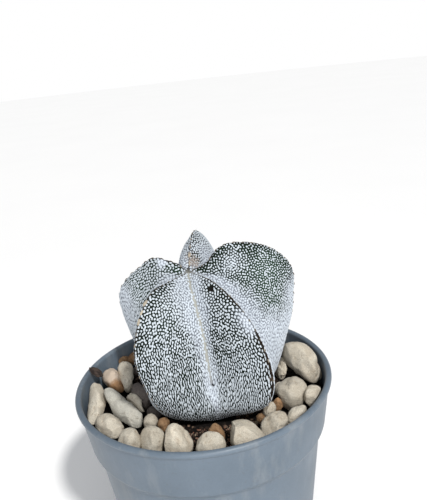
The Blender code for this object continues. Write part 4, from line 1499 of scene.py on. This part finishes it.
def growFlecks(ground):
    points, faces = relax(ground, scatter(ground))
    values, way, normal, rib = ground.read(points, faces)
    keep = (values[:, columns["away"]] > 0.25) & (values[:, columns["low"]] > flecks["lowest"])
    points, values, way, normal, rib = (part[keep] for part in (points, values, way, normal, rib))
    away, _, across, along, gap, coat, spacing, stretch, _ = values.T
    count, sides = len(points), flecks["sides"]
    lateral = np.cross(normal, way)
    near = neighboursOf(points, flecks["neighbours"])
    step = points[near] - points[:, None, :]
    # all of it is worked out as if the flecks were round, and drawn out lengthwise at the end
    pull = np.sqrt(stretch)[:, None]
    flat = np.stack([(step * way[:, None, :]).sum(2) / pull, (step * lateral[:, None, :]).sum(2) * pull], axis=2)
    distance = np.maximum(np.linalg.norm(flat, axis=2), 0.2)
    facing = (normal[:, None, :] * normal[near]).sum(2) > 0.25

    # some neighbours grow into one another: more where the coat is solid, lengthwise near the foot.
    # the luck of a pair is a number from 0 to 1, the same from both sides
    first = np.minimum(np.arange(count)[:, None], near)
    second = np.maximum(np.arange(count)[:, None], near)
    luck = np.mod(np.sin(first * 12.9898 + second * 78.233) * 43758.5453, 1.0)
    upright = np.abs(flat[:, :, 0]) / distance
    middle = rise(0.25, 0.5, along) * (1 - rise(0.80, 0.93, across))
    foot = np.maximum(rise(0.42, 0.66, along), np.where(rib == 4, 0.9 * rise(0.15, 0.4, along), 0))
    chance = (0.24 + 0.26 * middle * (1 - foot))[:, None] + foot[:, None] * 0.75 * rise(0.75, 0.92, upright)
    chance = np.maximum(chance, (0.34 * (1 - rise(0.10, 0.24, along)) * np.isin(rib, (0, 1, 4)))[:, None])
    chance = chance * (1 - coat[:, None]) + 0.75 * coat[:, None]
    joined = (luck < chance) & facing
    pairGap = (gap[:, None] + gap[near]) / 2
    pairGap = np.where(joined, -0.05, pairGap)

    # a line of bare skin follows each crest
    mirror = 2 * (nearestCrest(points, rib) - points)
    flatMirror = np.stack([(mirror * way).sum(1), (mirror * lateral).sum(1)], axis=1)
    flatMirror = flatMirror * np.hstack([1 / pull, pull])
    flatMirror[away > 1.5] = (50.0, 50.0)
    crestGap = np.where(coat > 0.6, 0.12 + 0.35 * wearOf(points), flecks["crestGap"] + wearOf(points))
    flat = np.concatenate([flat, flatMirror[:, None, :]], axis=1)
    distance = np.maximum(np.linalg.norm(flat, axis=2), 0.2)
    pairGap = np.concatenate([pairGap, crestGap[:, None]], axis=1)
    facing = np.concatenate([facing, np.ones((count, 1), bool)], axis=1)
    joined = np.concatenate([joined, np.zeros((count, 1), bool)], axis=1)

    turns = np.linspace(0, math.tau, sides, endpoint=False)[None, :] + (luck[:, :1] - 0.5) * 0.6
    ways = np.stack([np.cos(turns), np.sin(turns)], axis=2)
    toward = np.einsum("nmk,nsk->nms", flat, ways) / distance[:, :, None]
    lengthwise = np.abs(flat[:, :, 0]) / distance
    pairGap = pairGap * (pull * (1 - lengthwise ** 2) + lengthwise ** 2 / pull)
    room = np.maximum(distance / 2 - pairGap / 2, 0.06)[:, :, None]
    limit = np.where((toward > 0.05) & facing[:, :, None], room / np.maximum(toward, 0.05), 9.0)
    power = flecks["softness"]
    cap = spacing[:, None] * flecks["widest"]
    reach = ((limit ** -power).sum(1) + cap ** -power) ** (-1 / power)
    wobble = 1 + 0.10 * np.sin(turns * 2 + luck[:, 1:2] * 40) + 0.06 * np.sin(turns * 3 + luck[:, 2:3] * 40)
    reach = np.maximum(reach * wobble, 0.12)
    which = limit.argmin(1)
    welded = np.take_along_axis(joined, which, axis=1) & (limit.min(1) < cap * 1.02)
    ways = ways * np.hstack([pull, 1 / pull])[:, None, :]
    return {"points": points, "way": way, "lateral": lateral, "normal": normal, "turns": ways, "reach": reach,
            "welded": welded, "rib": rib, "coat": coat, "spacing": spacing, "tone": luck[:, 3]}


def nearestCrest(points, rib):
    spots = np.empty_like(points)
    for number, line in enumerate(crestLines):
        own = rib == number
        _, which = nearestOn(line, points[own])
        spots[own] = line[which]
    return spots


def makeFlecks(ground):
    grown = growFlecks(ground)
    count, sides = len(grown["points"]), flecks["sides"]
    spans = grown["turns"] * grown["reach"][:, :, None]
    offsets = spans[:, :, 0:1] * grown["way"][:, None, :] + spans[:, :, 1:2] * grown["lateral"][:, None, :]
    centre = grown["points"][:, None, :]
    rings = np.concatenate([centre, centre + offsets * flecks["ring"], centre + offsets], axis=1)
    flatRings = rings.reshape(-1, 3)
    laid = np.array([ground.tree.find_nearest(Vector(p))[0] for p in flatRings]).reshape(count, -1, 3)
    # where an outline runs past the crest it is kept from folding round it
    size = np.minimum(grown["reach"].mean(1), 0.5)
    lift = flecks["rise"] * np.clip(size / 0.5, 0.5, 1.15)
    rim = np.where(grown["welded"], lift[:, None] * flecks["weldRise"], -flecks["sunk"])
    heights = np.concatenate([lift[:, None], np.repeat(lift[:, None] * flecks["ringRise"], sides, 1), rim], axis=1)
    laid += grown["normal"][:, None, :] * heights[:, :, None]
    material = fleckMaterial()
    pattern = []
    for k in range(sides):
        after = (k + 1) % sides
        pattern.append((0, 1 + k, 1 + after))
        pattern.append((1 + k, 1 + sides + k, 1 + sides + after, 1 + after))
    for number, own in enumerate(ribs):
        chosen = np.nonzero(grown["rib"] == number)[0]
        points = laid[chosen].reshape(-1, 3) * mm
        stride = 1 + 2 * sides
        faces = [tuple(corner + start * stride for corner in face) for start in range(len(chosen)) for face in pattern]
        coatPiece = pieceFrom("flecks_" + own["name"], points, faces)
        giveValues(coatPiece, "tone", np.repeat(grown["tone"][chosen], stride))
        giveValues(coatPiece, "coat", np.repeat(grown["coat"][chosen], stride))
        rim = np.tile(np.concatenate([[1.0], np.full(sides, 0.8), np.zeros(sides)]), len(chosen))
        weld = np.concatenate([np.zeros((len(chosen), 1 + sides)), grown["welded"][chosen]], axis=1).ravel()
        giveValues(coatPiece, "height", np.maximum(rim, weld * 0.6))
        settle(coatPiece, "cactus_skin", material)
        print("flecks on rib", own["name"], len(chosen), "with", len(chosen) * sides * 3, "triangles")


def fleckMaterial():
    material, tree, shader, place = newMaterial("fleck_wool", 0.92, 0.15)
    shader.inputs["Sheen Weight"].default_value = 0.15
    mask, grain = unevenness(tree, place, 160.0, 6500.0, 0.4)
    body = blendColours(tree, valueNamed(tree, "coat"), colour(*cactus["woolTip"]), colour(*cactus["wool"]))
    toned = shadeBy(tree, 0.8, body, valueNamed(tree, "tone"), (0.0, 0.84), (1.0, 1.04))
    mottled = shadeBy(tree, 0.8, toned, mask, (0.3, 0.86), (0.7, 1.05))
    # the low rim of every fleck is darkened to woolShade: painted shade where the dome meets the skin
    rim = rampOf(tree, valueNamed(tree, "height"), [(0.0, 0.0), (0.55, 1.0)])
    shaded = blendColours(tree, rim, colour(*cactus["woolShade"]), mottled)
    finishMaterial(tree, shader, shaded, grain, 0.4, 0.0001)
    return material


# areoles: small pads of tan wool in the notches of the crests, and longer wool at the crown

areoles = {
    "padSize": (0.42, 0.26),
    "padRise": 0.20,
    "tan": (0.50, 0.44, 0.345),
    "grey": (0.045, 0.034, 0.027),
    "crown": (1.2, 4.0, 38.0),
    "crownSpread": (0.75, 1.2, 1.5),
    "crownDark": (0.46, 0.39, 0.35),
    "crownTan": (0.72, 0.65, 0.60),
    "crownWool": 170,
    "hairs": (0.7, 1.7),
    "hairThickness": 0.085,
    "brightOnes": (((-15.0, -19.4, 33.0), 4.6), ((8.1, -2.4, 33.2), 3.5), ((1.6, 4.6, 37.6), 4.0)),
}


def makePad():
    # one pad: a small dome with a flat foot, roughened
    pad = addShape(bpy.ops.mesh.primitive_uv_sphere_add, "pad", segments=12, ring_count=8, radius=1.0,
                   location=(0, 0, 0))
    editAll(pad)
    bpy.ops.mesh.bisect(plane_co=(0, 0, -0.2), plane_no=(0, 0, 1), clear_inner=True, use_fill=True)
    endEdit()
    return takeShape(pad, 0.35, 0.5, 12)


def standing(ground, spot, way):
    # the frame of something that stands on the skin: its own Z is the skin's normal
    where, faces = ground.press([spot])
    _, _, normal, _ = ground.read(where, faces)
    up = Vector(normal[0])
    ahead = (Vector(way) - up * Vector(way).dot(up)).normalized()
    turn = Matrix((ahead, up.cross(ahead), up)).transposed().to_4x4()
    turn.translation = Vector(where[0]) * mm
    return turn


def makeAreoles(ground):
    pad = makePad()
    places = []
    draw = random.Random(8)
    (length, width), height = areoles["padSize"], areoles["padRise"]
    for number, line in enumerate(crestLines):
        run = runAlong(line)
        beat = np.mod(-1.7 * number / math.tau, 1.0) * cactus["notchEvery"]
        while beat < run[-1] - 4:
            spot = placeAt(line, run, beat)
            ahead = placeAt(line, run, beat + 0.3) - spot
            bright = any(awayFrom(spot[None, :], where)[0] < reach for where, reach in areoles["brightOnes"])
            if beat > 1.5:
                grow = draw.uniform(0.75, 1.15) * (1.75 if bright else 0.9)
                size = Matrix.Diagonal((length * grow * 1.5 * mm, width * grow * mm, height * grow * mm, 1))
                tone = draw.uniform(0.6, 1.0) if bright else draw.uniform(0, 0.5)
                places.append((0, standing(ground, spot, ahead) @ size, tone))
            beat += cactus["notchEvery"] * draw.uniform(0.92, 1.08)
    pads = gather("areole_pads", [pad], places, True)
    settle(pads, "cactus_skin", woolMaterial("areole_wool", areoles["grey"], areoles["tan"]))
    return len(places)


def makeCrownWool(ground):
    # a low tuft over the growing point: tapered hairs of three sides that lean and curl
    draw = random.Random(21)
    crown = np.array(areoles["crown"]) + rimPlane
    points, faces, tones = [], [], []
    for _ in range(areoles["crownWool"]):
        spread = Vector([draw.gauss(0, width) for width in areoles["crownSpread"]])
        root = standing(ground, crown + np.array(spread), (0, -1, 0.2))
        length = draw.uniform(*areoles["hairs"])
        lean, curl = draw.uniform(0.3, 1.15), draw.uniform(-1.2, 1.2)
        heading = draw.uniform(0, math.tau)
        start = len(points)
        for ring in range(5):
            t = ring / 4
            tilt = lean + curl * t * 0.5
            centre = Vector((math.cos(heading) * math.sin(tilt), math.sin(heading) * math.sin(tilt), math.cos(tilt)))
            centre *= length * t
            for side in range(3):
                angle = math.tau * side / 3 + t
                spoke = Vector((math.cos(angle), math.sin(angle), 0)) * (areoles["hairThickness"] * (1 - 0.85 * t))
                points.append(root @ ((centre + spoke) * mm))
                tones.append(0.4 + 0.6 * draw.random())
        for low in range(start, start + 12, 3):
            faces += [(low + side, low + (side + 1) % 3, low + 3 + (side + 1) % 3, low + 3 + side)
                      for side in range(3)]
        faces.append((start + 12, start + 13, start + 14))
    tuft = pieceFrom("crown_wool", points, faces)
    giveValues(tuft, "tone", np.array(tones))
    settle(tuft, "cactus_skin", woolMaterial("crown_wool", areoles["crownDark"], areoles["crownTan"]))


def woolMaterial(name, dark, pale):
    material, tree, shader, place = newMaterial(name, 0.95, 0.2)
    shader.inputs["Sheen Weight"].default_value = 0.3
    mask, grain = unevenness(tree, place, 900.0, 7000.0, 0.5)
    body = blendColours(tree, valueNamed(tree, "tone"), colour(*dark), colour(*pale))
    finishMaterial(tree, shader, shadeBy(tree, 0.8, body, mask, (0.3, 0.75), (0.7, 1.15)), grain, 0.6, 0.00015)
    return material


skin, body, gap, coat = makeSkin()
print("skin is shaped,", len(skin.data.polygons), "faces")
ground = Ground(skin, body, gap, coat)
makeFlecks(ground)
print("flecks are grown")
padCount = makeAreoles(ground)
makeCrownWool(ground)
print(padCount, "areoles and the crown's wool are set")
